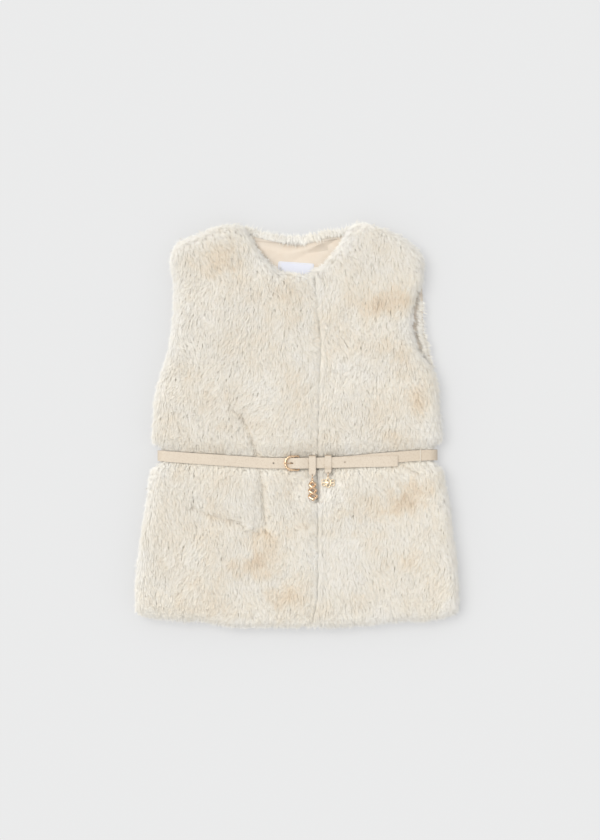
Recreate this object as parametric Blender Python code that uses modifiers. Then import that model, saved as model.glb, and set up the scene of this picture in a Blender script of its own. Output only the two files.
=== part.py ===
"""A child's faux fur vest, laid flat on its back, with its own narrow belt and two charms.

Lengths in the tables are millimetres. X runs across the vest, Y from hem to neck, Z up from the
surface that it lies on, and heights in the tables are measured up the vest from its lowest hem point.
The wearer's right is at -X. The origin is under the middle of the vest, on the surface.
"""

import math

import bmesh
import bpy
import numpy as np
from mathutils import Vector

MM = 0.001

# Driving sizes of the vest
VEST_LENGTH = 459.2
SEAM_GAP = 0.3
LAP = 20.0  # how far the right front laps over the left front
LAP_RAMP = (1.8, 9.0)  # past the lap, where the right front comes down from the pressed layer
LAP_CLEAR = 1.4  # past the lap's edge, where the left front starts to rise beside it

# Layers, as heights above the surface
BACK_TOP = 10.3
RECESS_FLOOR = 8.1  # the back is thinner where the lining lies on it
LINING_THICK = 1.0
LABEL_THICK = 0.6
FRONT_BASE = 10.6
FRONT_TOP = 24.6
PRESSED_LAYER = 4.0  # the left front under the lap
RIM = 1.2  # the least thickness of a panel at its edge
NECK_ROLL = 3.2  # the fur that curls over the back neck edge
NECK_ROLL_SPAN = (-41, -28, 28, 41)  # across, where that roll starts, is full and ends
ARMHOLE_ROLL = 1.8  # the same at the back's left armhole edge
ARMHOLE_ROLL_SPAN = (303, 318, 338, 354)  # the same, up the vest
LINING_FROM = 285  # height of the lining's lower end, hidden under the fronts

# Roundness of the fur at the panels' edges, as distance in from the edge
FRONT_ROUND = 16.0
LAP_ROUND = 9.0
RISE_ROUND = 13.0
PRESSED_ROUND = 5.0
BACK_ROUND = 12.0
BELT_ROUND = 8.4  # where the belt squeezes the vest's sides

# The belt
STRAP_WIDTH = 12.0
STRAP_THICK = 1.4
TROUGH_Z = 19.1  # the squeezed front under the belt
TROUGH_DEEPER = 1.6  # more under the buckle and the charm tabs
TROUGH_FLAT = 6.8
TROUGH_END = 22.0
DEEPER_SPAN = (-16, -4, 44, 58)  # across, where that deeper part starts, is full and ends
UNDER_FLAT = 6.8
UNDER_END = 17.0
PINCHED_EDGE = 155.4  # the vest's half width under the belt
PINCH_END = 14.0  # how far from the belt's middle the sides are drawn in
HOLE_RADIUS = 1.0
HOLE_PITCH = 20.0
PRONG_HOLE_X = -6.8
TIP_X = 112.2
PRONG_SLOT_PLACE = (2.6, 20.55)  # across and up, where the strap folds round the bar
PRONG_SLOT_SIZE = (7.2, 2.8, 5.6)

# The buckle
BAR_X = 1.5
BAR_Z = 20.7
BAR_RADIUS = 0.9
RIM_X = -13.8
RIM_Z = 22.6
FRAME_RADIUS = 1.0
PRONG_RADIUS = 0.55
HOOK_RADIUS = BAR_RADIUS + SEAM_GAP + STRAP_THICK / 2

# The charm tabs, their rings and the charms
TAB_THICK = 0.9
TAB_HALF_WIDTH = 3.8
TAB_HOLE_IN = 1.6  # a tab's hole, in from its tip
RING_RADIUS = 2.3
RING_WIRE = 0.4
EYE_RADIUS = 1.05
EYE_WIRE = 0.4

# The two tabs: name, place across, reach below the belt's middle, height of the end, room over the belt
TABS = (
    ("knot", 16.6, 14.6, 25.6, 24.1),
    ("flower", 34.2, 12.6, 25.2, 22.9),
)

# Silhouette: height, left edge, right edge of the front, right edge of the back
SIDE_EDGES = (
    (28, -184.7, 184.7, 184.7),
    (42, -184.6, 183.6, 183.6),
    (59, -183.4, 182.5, 182.5),
    (77, -181.8, 181.6, 181.6),
    (98, -178.9, 178.6, 178.6),
    (121, -176.0, 175.9, 175.9),
    (141, -172.6, 173.4, 173.4),
    (158, -170.2, 169.6, 169.6),
    (176, -167.8, 166.4, 166.4),
    (194, -163.4, 162.0, 162.0),
    (211, -165.6, 165.2, 165.2),
    (239, -164.4, 163.2, 163.2),
    (261, -163.0, 161.6, 161.6),
    (275, -160.6, 160.4, 160.4),
    (288, -156.2, 157.4, 157.6),
    (300, -151.4, 150.4, 152.6),
    (308, -149.4, 143.4, 151.0),
    (316, -147.2, 138.6, 149.2),
    (324, -146.0, 134.8, 147.0),
    (334, -144.8, 133.8, 145.0),
    (350, -143.2, 133.2, 144.2),
    (364, -142.4, 133.2, 144.4),
    (373, -142.0, 137.5, 143.6),
    (383, -142.0, 142.0, 143.2),
    (400, -143.0, 144.0, 143.6),
    (411, -145.8, 145.4, 144.6),
    (420, -145.4, 142.8, 142.2),
    (428.6, -141.4, 138.8, 138.6),
)

# Front closing edge of the right front: height, place across
CLOSING_EDGE = (
    (5.7, 15.8),
    (20.7, 19.3),
    (36, 21.3),
    (60.7, 23.0),
    (80.9, 21.9),
    (128, 21.3),
    (196.5, 21.9),
    (278.4, 23.7),
    (302, 23.6),
    (325.6, 24.9),
    (344.1, 25.5),
    (369.4, 23.7),
    (394.5, 18.2),
)

# Hems: place across, height
HEM_RIGHT_FRONT = (
    (-184.7, 28),
    (-183.4, 21.5),
    (-179.0, 15.8),
    (-174.5, 13.6),
    (-165.6, 11.3),
    (-152.1, 9.4),
    (-134.1, 7.2),
    (-118.4, 6.8),
    (-105.0, 6.2),
    (-91.5, 3.4),
    (-78.0, 1.2),
    (-64.5, 0.2),
    (-48.0, 0),
    (-28.0, 0),
    (-10.7, 0.2),
    (2.8, 1.2),
    (8.4, 2.6),
    (15.8, 5.7),
)
HEM_LEFT_FRONT = (
    (-7.0, 3.6),
    (8.0, 2.3),
    (16.3, 2.2),
    (29.7, 0.2),
    (43.2, 0.1),
    (56.7, 1.2),
    (70.2, 2.3),
    (83.6, 2.3),
    (97.1, 4.5),
    (110.6, 6.6),
    (124.0, 6.8),
    (137.5, 6.9),
    (155.5, 8.0),
    (164.4, 10.8),
    (173.4, 14.0),
    (179.5, 17.0),
    (183.4, 21.5),
    (184.7, 28),
)
HEM_BACK = (
    (-184.7, 28),
    (-183.4, 22.0),
    (-179.0, 16.3),
    (-174.5, 14.1),
    (-165.6, 11.8),
    (-134.1, 7.6),
    (-105.0, 6.6),
    (-78.0, 1.8),
    (-37.6, 0.6),
    (0.0, 0.8),
    (43.0, 0.8),
    (83.6, 2.8),
    (110.6, 7.2),
    (137.5, 7.3),
    (155.5, 8.4),
    (168.9, 12.9),
    (179.5, 17.5),
    (183.4, 22.0),
    (184.7, 28),
)

# Shoulders and necklines: place across, height
TOP_RIGHT_FRONT = (
    (-141.4, 428.6),
    (-138.4, 434.8),
    (-133.0, 439.0),
    (-118.4, 444.6),
    (-105.0, 450.2),
    (-91.5, 455.4),
    (-84.0, 457.0),
    (-70.0, 457.2),
    (-62.0, 456.4),
    (-55.6, 451.5),
    (-50.4, 441.5),
    (-45.5, 435.0),
    (-38.7, 424.4),
    (-28.6, 414.3),
    (-23.0, 409.0),
    (-9.0, 404.2),
    (3.0, 402.6),
    (10.0, 400.8),
    (15.0, 397.6),
    (18.2, 394.5),
)
TOP_LEFT_FRONT = (
    (-1.8, 396.0),
    (8.0, 400.2),
    (17.4, 405.6),
    (26.4, 413.1),
    (34.2, 421.6),
    (42.7, 431.1),
    (48.8, 441.5),
    (53.3, 449.6),
    (59.0, 455.6),
    (66.0, 459.2),
    (76.0, 459.2),
    (84.0, 456.4),
    (97.1, 453.2),
    (110.6, 447.9),
    (124.0, 440.1),
    (133.0, 433.8),
    (138.8, 428.6),
)
TOP_BACK = (
    (-141.4, 428.6),
    (-138.4, 434.2),
    (-133.0, 438.4),
    (-118.4, 444.0),
    (-105.0, 449.6),
    (-91.5, 454.8),
    (-77.0, 456.6),
    (-62.0, 456.0),
    (-51.1, 454.6),
    (-37.6, 450.2),
    (-24.1, 446.8),
    (-10.7, 444.6),
    (2.8, 444.6),
    (16.3, 446.8),
    (29.7, 450.2),
    (43.2, 453.4),
    (56.7, 455.6),
    (70.0, 458.2),
    (83.6, 455.6),
    (97.1, 452.6),
    (110.6, 447.3),
    (124.0, 439.5),
    (133.0, 433.2),
    (138.6, 428.6),
)

# The belt's middle line over the front, and under the back: place across, height
BELT_FRONT = (
    (-157.0, 195.6),
    (-109.0, 192.3),
    (-64.5, 189.4),
    (-26.0, 187.4),
    (3.0, 187.5),
    (25.0, 187.9),
    (42.0, 188.4),
    (62.0, 189.9),
    (79.0, 191.6),
    (113.0, 194.4),
    (131.0, 195.8),
    (157.0, 196.6),
)
BELT_TIP_STRAP = (
    (-157.0, 195.6),
    (-109.0, 192.3),
    (-64.5, 189.4),
    (-26.0, 187.4),
    (3.0, 187.5),
    (25.0, 187.9),
    (42.0, 188.3),
    (112.0, 189.8),
)
BELT_BACK = ((-157.0, 195.6), (157.0, 196.6))

# Creases that the laid vest shows: the line's points (place across, height), depth, half width
CREASES = (
    (((-74, 248), (-63, 243), (-57, 230), (-51, 213), (-45, 195), (-39, 160), (-38, 135), (-36, 113)), 4.2, 13.0),
    (((-117, 138), (-96, 129), (-80, 125), (-64, 120), (-58, 113), (-44, 110)), 3.4, 12.0),
    (((117, 186), (132, 177)), 1.6, 9.0),
)

# Soft swells and hollows of the fronts: place across, height, rise, half width, half height
SWELLS = (
    (-95, 330, 1.6, 60, 70),
    (-98, 60, 1.4, 62, 48),
    (92, 330, 1.5, 52, 66),
    (105, 80, 1.5, 62, 60),
    (-20, 120, -0.9, 36, 60),
    (-8, 300, -0.8, 36, 60),
    (55, 250, 0.9, 40, 34),
    (-104, 250, 0.8, 40, 30),
)
CHARM_DENT = (17, 158, -2.6, 44, 30)

# Stations in from a panel's edges and from the belt's middle line
EDGE_STEPS = (0, 1.5, 4, 8.4, 14, 22)
LAP_STEPS_RIGHT = (0, 1.5, 4, 8.4, 14, 21.8, 30)
LAP_STEPS_LEFT = (0, 1.5, 5, 13, 20.6, 22.5, 25.5, 30, 38)
TOP_STEPS = (0, 1.5, 5, 11.5, 16, 23)
BACK_RIGHT_STEPS = (0, 1.4, 3.2, 8.4, 14, 22)
BELT_STEPS = (6.8, 11, 16, 24)

COLLECTION = "faux_fur_vest"
FUR_CREAM = (0.80, 0.74, 0.64)
LINING_PEACH = (0.84, 0.74, 0.61)
LABEL_WHITE = (0.86, 0.87, 0.92)
STRAP_IVORY = (0.83, 0.74, 0.60)
ROSE_GOLD = (0.86, 0.60, 0.42)
PALE_GOLD = (0.84, 0.70, 0.52)


def clear_scene():
    for existing in list(bpy.data.objects):
        bpy.data.objects.remove(existing, do_unlink=True)


def collection(name):
    made = bpy.data.collections.new(name)
    bpy.context.scene.collection.children.link(made)
    return made


def material(name, colour, roughness, metallic=0.0):
    made = bpy.data.materials.new(name)
    made.use_nodes = True
    shader = made.node_tree.nodes["Principled BSDF"]
    shader.inputs["Base Color"].default_value = (*colour, 1.0)
    shader.inputs["Roughness"].default_value = roughness
    shader.inputs["Metallic"].default_value = metallic
    return made


def hem_to_y(height):
    """A height up the vest as the model's Y, which is zero halfway up."""
    return height - VEST_LENGTH / 2


def smooth_step(low, high, value):
    share = np.clip((np.asarray(value, float) - low) / (high - low), 0, 1)
    return share * share * (3 - 2 * share)


def through(rows, at, column=1):
    """A smooth curve through a table's rows, read at a value of the table's first column."""
    known = np.array([row[0] for row in rows], float)
    values = np.array([row[column] for row in rows], float)
    slopes = np.gradient(values, known)
    steps = np.diff(values) / np.diff(known)
    # No overshoot: a slope stays under three times the steps beside it, and flat where they turn
    for k in range(1, len(known) - 1):
        least = min(abs(steps[k - 1]), abs(steps[k]))
        turns = steps[k - 1] * steps[k] <= 0
        slopes[k] = 0 if turns else math.copysign(min(abs(slopes[k]), 3 * least), slopes[k])
    at = np.clip(np.asarray(at, float), known[0], known[-1])
    k = np.clip(np.searchsorted(known, at) - 1, 0, len(known) - 2)
    width = known[k + 1] - known[k]
    t = (at - known[k]) / width
    return (
        (2 * t**3 - 3 * t**2 + 1) * values[k]
        + (t**3 - 2 * t**2 + t) * width * slopes[k]
        + (-2 * t**3 + 3 * t**2) * values[k + 1]
        + (t**3 - t**2) * width * slopes[k + 1]
    )


def line_distance(x, y, line):
    """Distance of each point to a line given by its points, in the plane of the cloth."""
    best = np.full(np.shape(x), np.inf)
    for (x0, y0), (x1, y1) in zip(line[:-1], line[1:]):
        dx, dy = x1 - x0, y1 - y0
        share = np.clip(((x - x0) * dx + (y - y0) * dy) / max(dx * dx + dy * dy, 1e-9), 0, 1)
        best = np.minimum(best, np.hypot(x - x0 - share * dx, y - y0 - share * dy))
    return best


def belt_share(offset, flat, end):
    """One under the belt and zero clear of it, for an offset from the belt's middle line."""
    return 1 - smooth_step(flat, end, np.abs(offset))


def pinched(x, height, belt_height):
    """An edge of the silhouette drawn in where the belt squeezes it."""
    share = belt_share(height - belt_height, TROUGH_FLAT, PINCH_END)
    return x + share * (math.copysign(PINCHED_EDGE, x) - x)


def left_edge(height):
    return pinched(float(through(SIDE_EDGES, height, 1)), height, BELT_BACK[0][1])


def right_edge_front(height):
    return pinched(float(through(SIDE_EDGES, height, 2)), height, BELT_BACK[-1][1])


def right_edge_back(height):
    return pinched(float(through(SIDE_EDGES, height, 3)), height, BELT_BACK[-1][1])


def closing_edge(height):
    return float(through(CLOSING_EDGE, height))


def lapped_edge(height):
    return closing_edge(height) - LAP


def stations(length, near_start, near_end, middle):
    """Places along a length: fixed steps at both ends and even ones between them."""
    first, last = near_start[-1], length - near_end[-1]
    between = np.linspace(first, last, middle + 2)[1:-1]
    return np.array([*near_start, *between, *(length - s for s in reversed(near_end))])


class Panel:
    """A panel's grid of points: its rows follow the hem, the belt's line and the top."""

    def __init__(self, left, right, hem, top, belt, steps_left, steps_right, counts):
        across, below, above = counts

        def row_x(start, end):
            return start + stations(end - start, steps_left, steps_right, across)

        hem_x = row_x(hem[0][0], hem[-1][0])
        top_x = row_x(top[0][0], top[-1][0])
        belt_x = row_x(left(belt[0][1]), right(belt[-1][1]))
        hem_height = through(hem, hem_x)
        top_height = through(top, top_x)
        belt_height = through(belt, belt_x)
        lower = [stations(h, EDGE_STEPS, BELT_STEPS, below) for h in belt_height - hem_height]
        upper = [stations(h, BELT_STEPS, TOP_STEPS, above) for h in top_height - belt_height]
        self.height = np.vstack([hem_height + np.array(lower).T, belt_height + np.array(upper).T])
        self.x = np.array([row_x(left(h[0]), right(h[-1])) for h in self.height])
        self.offset = self.height - belt_height
        self.y = hem_to_y(self.height)

    def edge(self, side):
        index = {"left": (slice(None), 0), "right": (slice(None), -1), "hem": 0, "top": -1}[side]
        return list(zip(self.x[index], self.height[index]))

    def distance(self, side):
        return line_distance(self.x, self.height, self.edge(side))


def quarter_round(distance, radius):
    """From zero at an edge to one at a radius in from it, as a quarter circle."""
    share = np.clip(distance / radius, 0, 1)
    return np.sqrt(np.maximum(1 - (1 - share) ** 2, 0))


def window(span, at):
    """Zero outside a span, one in its middle part."""
    start, full, fading, end = span
    return smooth_step(start, full, at) * (1 - smooth_step(fading, end, at))


def swell(x, height, row):
    centre_x, centre_height, rise, half_width, half_height = row
    far = np.hypot((x - centre_x) / half_width, (height - centre_height) / half_height)
    return rise * (1 - smooth_step(0, 1, far))


def fur_top(panel):
    """The height of the fur's tips over the fronts, before their edges round off."""
    z = np.full(panel.x.shape, FRONT_TOP)
    for row in (*SWELLS, CHARM_DENT):
        z += swell(panel.x, panel.height, row)
    for line, depth, half_width in CREASES:
        far = line_distance(panel.x, panel.height, line)
        z -= depth * (1 - smooth_step(0, half_width, far))
    trough = TROUGH_Z - TROUGH_DEEPER * window(DEEPER_SPAN, panel.x)
    share = belt_share(panel.offset, TROUGH_FLAT, TROUGH_END)
    return z + share * (trough - z)


def rounded_front(panel, bottom, seam_side, lap_side=None):
    """The fronts' upper face: the fur's tips, rounded off at the seams and the free edges."""
    share = belt_share(panel.offset, TROUGH_FLAT, TROUGH_END)
    radius = FRONT_ROUND + share * (BELT_ROUND - FRONT_ROUND)
    keep = np.minimum(
        quarter_round(panel.distance("hem"), FRONT_ROUND),
        quarter_round(panel.distance("top"), FRONT_ROUND),
    )
    keep = np.minimum(keep, quarter_round(panel.distance(seam_side), radius))
    if lap_side:
        keep = np.minimum(keep, quarter_round(panel.distance(lap_side), LAP_ROUND))
    return bottom + np.maximum(RIM, (fur_top(panel) - bottom) * keep)


def wall_mesh(name, x, y, bottom, top):
    """A closed wall through rings: each row's upper points and, back along it, its lower ones."""
    body = bmesh.new()
    rows, count = x.shape
    rings = []
    for r in range(rows):
        upper = [body.verts.new((x[r, i], y[r, i], top[r, i])) for i in range(count)]
        lower = [body.verts.new((x[r, i], y[r, i], bottom[r, i])) for i in reversed(range(count))]
        rings.append(upper + lower)
    size = 2 * count
    for ring, following in zip(rings[:-1], rings[1:]):
        for i in range(size):
            after = (i + 1) % size
            body.faces.new((ring[i], ring[after], following[after], following[i]))
    for ring, flip in ((rings[0], False), (rings[-1], True)):
        for i in range(count - 1):
            face = (ring[i], ring[size - 1 - i], ring[size - 2 - i], ring[i + 1])
            body.faces.new(tuple(reversed(face)) if flip else face)
    bmesh.ops.scale(body, vec=(MM, MM, MM), verts=body.verts)
    bmesh.ops.recalc_face_normals(body, faces=body.faces)
    mesh = bpy.data.meshes.new(name)
    body.to_mesh(mesh)
    body.free()
    return mesh


def add_object(parts, name, mesh, finish, smooth=True):
    made = bpy.data.objects.new(name, mesh)
    parts.objects.link(made)
    mesh.materials.clear()
    mesh.materials.append(finish)
    if smooth:
        mesh.shade_smooth()
        mesh.set_sharp_from_angle(angle=math.radians(50))
    return made


def right_front(parts, finish):
    """The wearer's right front, which laps over the left one."""
    panel = Panel(
        left_edge, closing_edge, HEM_RIGHT_FRONT, TOP_RIGHT_FRONT, BELT_FRONT_RIGHT,
        EDGE_STEPS, LAP_STEPS_RIGHT, (12, 9, 9),
    )
    past_lap = panel.x[:, -1:] - panel.x - LAP
    lapped = 1 - smooth_step(*LAP_RAMP, past_lap)
    bottom = FRONT_BASE + (PRESSED_LAYER + SEAM_GAP) * lapped
    top = rounded_front(panel, bottom, "left", "right")
    mesh = wall_mesh("front_right", panel.x, panel.y, bottom, top)
    return add_object(parts, "front_right", mesh, finish)


def left_front(parts, finish):
    """The wearer's left front: its closing edge lies pressed flat under the right one."""
    panel = Panel(
        lapped_edge, right_edge_front, HEM_LEFT_FRONT, TOP_LEFT_FRONT, BELT_FRONT_LEFT,
        LAP_STEPS_LEFT, EDGE_STEPS, (7, 7, 9),
    )
    bottom = np.full(panel.x.shape, FRONT_BASE)
    free = rounded_front(panel, bottom, "right")
    across = panel.x - panel.x[:, :1]
    clear = quarter_round(across - LAP - LAP_CLEAR, RISE_ROUND)
    edge = quarter_round(panel.distance("left"), PRESSED_ROUND)
    flat = bottom + np.maximum(RIM, np.minimum(free - bottom, PRESSED_LAYER) * edge)
    top = flat + clear * (free - flat)
    mesh = wall_mesh("front_left", panel.x, panel.y, bottom, top)
    return add_object(parts, "front_left", mesh, finish)


def back_panel():
    """The back's grid, its lower and upper faces, and the part of the grid under the lining."""
    panel = Panel(
        left_edge, right_edge_back, HEM_BACK, TOP_BACK, BELT_BACK,
        EDGE_STEPS, BACK_RIGHT_STEPS, (14, 5, 9),
    )
    share = belt_share(panel.offset, UNDER_FLAT, UNDER_END)
    radius = BACK_ROUND + share * (BELT_ROUND - BACK_ROUND)
    keep = np.minimum(
        quarter_round(panel.distance("hem"), BACK_ROUND),
        quarter_round(panel.distance("top"), BACK_ROUND),
    )
    for side in ("left", "right"):
        keep = np.minimum(keep, quarter_round(panel.distance(side), radius))
    groove = (STRAP_THICK + 2 * SEAM_GAP) * share
    bottom = np.minimum(FRONT_BASE - (FRONT_BASE - groove) * keep, BACK_TOP - RIM)
    top = np.full(panel.x.shape, BACK_TOP)
    rows, count = panel.x.shape
    first_row = int(np.argmax(panel.height[:, count // 2] > LINING_FROM))
    covered = (slice(first_row, rows - 3), slice(4, count - 2))
    top[covered] = RECESS_FLOOR
    top[-3:-1] += NECK_ROLL * window(NECK_ROLL_SPAN, panel.x[-3:-1])
    top[:, -2] += ARMHOLE_ROLL * window(ARMHOLE_ROLL_SPAN, panel.height[:, -2])
    return panel, bottom, top, covered


def back_and_lining(parts, fur, satin):
    panel, bottom, top, covered = back_panel()
    add_object(parts, "back", wall_mesh("back", panel.x, panel.y, bottom, top), fur)
    under = top[covered] + SEAM_GAP
    mesh = wall_mesh("back_lining", panel.x[covered], panel.y[covered], under, under + LINING_THICK)
    add_object(parts, "back_lining", mesh, satin)


def neck_label(parts, finish):
    """A plain woven label on the lining, its lower half under the fronts."""
    width, depth = 40.0, 22.0
    body = bmesh.new()
    bmesh.ops.create_cube(body, size=1.0)
    bmesh.ops.scale(body, vec=(width * MM, depth * MM, LABEL_THICK * MM), verts=body.verts)
    upright = [e for e in body.edges if abs(e.verts[0].co.z - e.verts[1].co.z) > LABEL_THICK * MM / 2]
    bmesh.ops.bevel(body, geom=upright, offset=0.8 * MM, segments=2, affect="EDGES")
    mesh = bpy.data.meshes.new("neck_label")
    body.to_mesh(mesh)
    body.free()
    made = add_object(parts, "neck_label", mesh, finish, smooth=False)
    floor = RECESS_FLOOR + SEAM_GAP + LINING_THICK + SEAM_GAP
    made.location = Vector((-2.2, hem_to_y(402.0), floor + LABEL_THICK / 2)) * MM
    made.rotation_euler.z = math.radians(-4.0)


def strip_mesh(name, points, half_widths, along):
    """A flat strip through points, as wide along a direction as half_widths say."""
    body = bmesh.new()
    side = Vector(along).normalized()
    pairs = []
    for point, half in zip(points, half_widths):
        middle = Vector(point)
        pairs.append([body.verts.new(middle + side * half * s) for s in (-1, 0, 1)])
    for pair, following in zip(pairs[:-1], pairs[1:]):
        for i in range(2):
            body.faces.new((pair[i], pair[i + 1], following[i + 1], following[i]))
    bmesh.ops.scale(body, vec=(MM, MM, MM), verts=body.verts)
    mesh = bpy.data.meshes.new(name)
    body.to_mesh(mesh)
    body.free()
    return mesh


def arc(centre, radius, start, end, steps):
    """Points of an arc in an upright plane, from one angle to another, as (across, up)."""
    angles = np.radians(np.linspace(start, end, steps + 1))
    return [(centre[0] + radius * math.cos(a), centre[1] + radius * math.sin(a)) for a in angles]


# The height of the strap's middle as the tip's stretch passes the buckle: place across, height
TIP_STRAP_Z = (
    (-140.0, 20.1),
    (-60.0, 20.1),
    (-24.0, 20.1),
    (-14.0, 20.2),
    (-9.6, 20.4),
    (-6.9, 21.8),
    (-4.2, 23.25),
    (-1.5, 24.1),
    (1.5, 24.4),
    (6.0, 24.2),
    (12.0, 23.0),
    (20.0, 22.0),
    (28.0, 21.8),
    (112.0, 21.8),
)
# The same for the stretch that ends round the buckle's bar
BAR_STRAP_Z = (
    (5.5, 21.9),
    (12.0, 20.5),
    (20.0, 20.1),
    (160.0, 20.1),
)
BELT_FRONT_RIGHT = tuple(row for row in BELT_FRONT if row[0] < 30)
BELT_FRONT_LEFT = tuple(row for row in BELT_FRONT if row[0] > -20)


def strap_route():
    """The belt's middle line: from its tip through the buckle, round the vest and back to the bar."""
    lying = TROUGH_Z + SEAM_GAP + STRAP_THICK / 2
    under = STRAP_THICK / 2
    radius = (lying - under) / 2
    centre_z = (lying + under) / 2
    centre_x = PINCHED_EDGE + 2 * SEAM_GAP + STRAP_THICK / 2 - radius
    route = []
    for x in (TIP_X, 95, 78, 60, 44, 36, 28, 24, 20, 16, 12, 9, 6, 3.7, 1.5, -0.7, -3, -5, -6.9):
        route.append((x, float(through(BELT_TIP_STRAP, x)), float(through(TIP_STRAP_Z, x))))
    for x in (-8.2, -9.6, -11.5, -14, -18, -24, -34, -48, -64, -80, -98, -116, -132, -centre_x):
        route.append((x, float(through(BELT_TIP_STRAP, x)), float(through(TIP_STRAP_Z, x))))
    for x, z in arc((-centre_x, centre_z), radius, 90, 270, 12)[1:]:
        route.append((x, BELT_BACK[0][1], z))
    for share in (0.25, 0.5, 0.75, 1.0):
        x = centre_x * (2 * share - 1)
        route.append((x, float(through(BELT_BACK, x)), under))
    for x, z in arc((centre_x, centre_z), radius, -90, 90, 12)[1:]:
        route.append((x, BELT_BACK[-1][1], z))
    for x in (132, 113, 94, 76, 60, 44, 34, 26, 20, 16, 12, 9, 5.5):
        route.append((x, float(through(BELT_FRONT, x)), float(through(BAR_STRAP_Z, x))))
    for x, z in arc((BAR_X, BAR_Z), HOOK_RADIUS, 75, 280, 9):
        route.append((x, float(through(BELT_FRONT, x)), z))
    return [(x, hem_to_y(h), z) for x, h, z in route]


def hidden(cutter, cutters):
    for users in list(cutter.users_collection):
        users.objects.unlink(cutter)
    cutters.objects.link(cutter)
    cutter.hide_render = True
    cutter.display_type = "WIRE"
    return cutter


def cut(target, cutter):
    step = target.modifiers.new(cutter.name, "BOOLEAN")
    step.operation = "DIFFERENCE"
    step.object = cutter
    step.solver = "EXACT"


def join(target, other):
    step = target.modifiers.new(other.name, "BOOLEAN")
    step.operation = "UNION"
    step.object = other
    step.solver = "EXACT"


def punch(name, x, y, z, radius, depth, cutters):
    bpy.ops.mesh.primitive_cylinder_add(
        vertices=12, radius=radius * MM, depth=depth * MM, location=(x * MM, y * MM, z * MM)
    )
    made = bpy.context.object
    made.name = name
    return hidden(made, cutters)


def belt_strap(parts, cutters, finish):
    """One strap, punched with five holes, the second of them over the prong."""
    route = strap_route()
    halves = [STRAP_WIDTH / 2] * len(route)
    mesh = strip_mesh("belt_strap", route, halves, (0, 1, 0))
    strap = add_object(parts, "belt_strap", mesh, finish)
    thickness = strap.modifiers.new("thickness", "SOLIDIFY")
    thickness.thickness = STRAP_THICK * MM
    thickness.offset = 0
    thickness.use_even_offset = True
    for k in range(-1, 4):
        x = PRONG_HOLE_X + k * HOLE_PITCH
        y = hem_to_y(float(through(BELT_TIP_STRAP, x)))
        z = float(through(TIP_STRAP_Z, x))
        # Thick enough to pass the strap where it slopes, and short of the stretch below it
        depth = STRAP_THICK + (2.6 if k == 0 else 0.5)
        hole = punch(f"hole_{k + 1}", x, y, z, HOLE_RADIUS, depth, cutters)
        if k == 0:
            hole.scale.x = 2.3
        cut(strap, hole)
    slot_x, slot_z = PRONG_SLOT_PLACE
    slot_y = hem_to_y(float(through(BELT_FRONT, slot_x)))
    bpy.ops.mesh.primitive_cube_add(size=1.0, location=Vector((slot_x, slot_y, slot_z)) * MM)
    slot = hidden(bpy.context.object, cutters)
    slot.name = "prong_slot"
    slot.scale = Vector(PRONG_SLOT_SIZE) * MM
    cut(strap, slot)


def tube(name, points, radius, parts, finish, radii=None, cyclic=False, sides=2):
    """A curve tube through points; radii scale its radius at each point."""
    curve = bpy.data.curves.new(name, "CURVE")
    curve.dimensions = "3D"
    curve.bevel_depth = radius * MM
    curve.bevel_resolution = sides
    curve.use_fill_caps = not cyclic
    spline = curve.splines.new("POLY")
    spline.points.add(len(points) - 1)
    spline.use_cyclic_u = cyclic
    for k, point in enumerate(points):
        spline.points[k].co = (*(Vector(point) * MM), 1.0)
        spline.points[k].radius = radii[k] if radii else 1.0
    made = bpy.data.objects.new(name, curve)
    parts.objects.link(made)
    curve.materials.append(finish)
    return made


# Half of the buckle's frame, from its bar round to its rim: back from the rim, aside, thickness
FRAME_HALF = (
    (15.3, 3.0, 0.9),
    (15.3, 6.0, 0.9),
    (15.2, 7.5, 1.3),
    (14.0, 7.9, 1.35),
    (12.4, 7.55, 1.05),
    (10.6, 7.4, 0.95),
    (8.8, 7.45, 1.0),
    (6.4, 7.5, 1.05),
    (4.0, 6.9, 1.1),
    (2.0, 5.5, 1.1),
    (0.6, 3.2, 1.1),
)


# The prong from the bar up through the strap's hole and over the rim: place across, height
PRONG_REACH = (
    (-1.5, 22.0),
    (-4.2, 21.6),
    (-6.9, 22.0),
    (-9.0, 22.9),
    (-11.5, 23.9),
    (-14.0, 24.6),
    (-16.0, 24.3),
)


def frame_point(back, aside):
    """A point of the buckle's frame, whose plane tilts from the bar up to the rim."""
    tilt = (RIM_Z - BAR_Z) / (BAR_X - RIM_X)
    x = RIM_X + back
    y = hem_to_y(float(through(BELT_TIP_STRAP, -7)))
    return (x, y + aside, RIM_Z - tilt * back)


def buckle(parts, gold):
    """The frame with its bar in one bent wire, thicker at the bar's ends, and the prong."""
    points = [frame_point(BAR_X - RIM_X, 0)] + [frame_point(back, aside) for back, aside, _ in FRAME_HALF]
    radii = [BAR_RADIUS / FRAME_RADIUS] + [thickness for _, _, thickness in FRAME_HALF]
    other = FRAME_HALF[::-1]
    points += [frame_point(0, 0)] + [frame_point(back, -aside) for back, aside, _ in other]
    radii += [1.1] + [thickness for _, _, thickness in other]
    tube("belt_buckle", points, FRAME_RADIUS, parts, gold, radii, cyclic=True, sides=3)
    y = hem_to_y(float(through(BELT_TIP_STRAP, -7)))
    around = arc((BAR_X, BAR_Z), 1.7, -160, 90, 8)
    route = [(x, y, z) for x, z in (*around, *PRONG_REACH)]
    radii = [1.0] * (len(route) - 2) + [1.0, 0.75]
    tube("belt_prong", route, PRONG_RADIUS, parts, gold, radii)


def belt_y(x):
    return hem_to_y(float(through(BELT_FRONT, x)))


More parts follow.
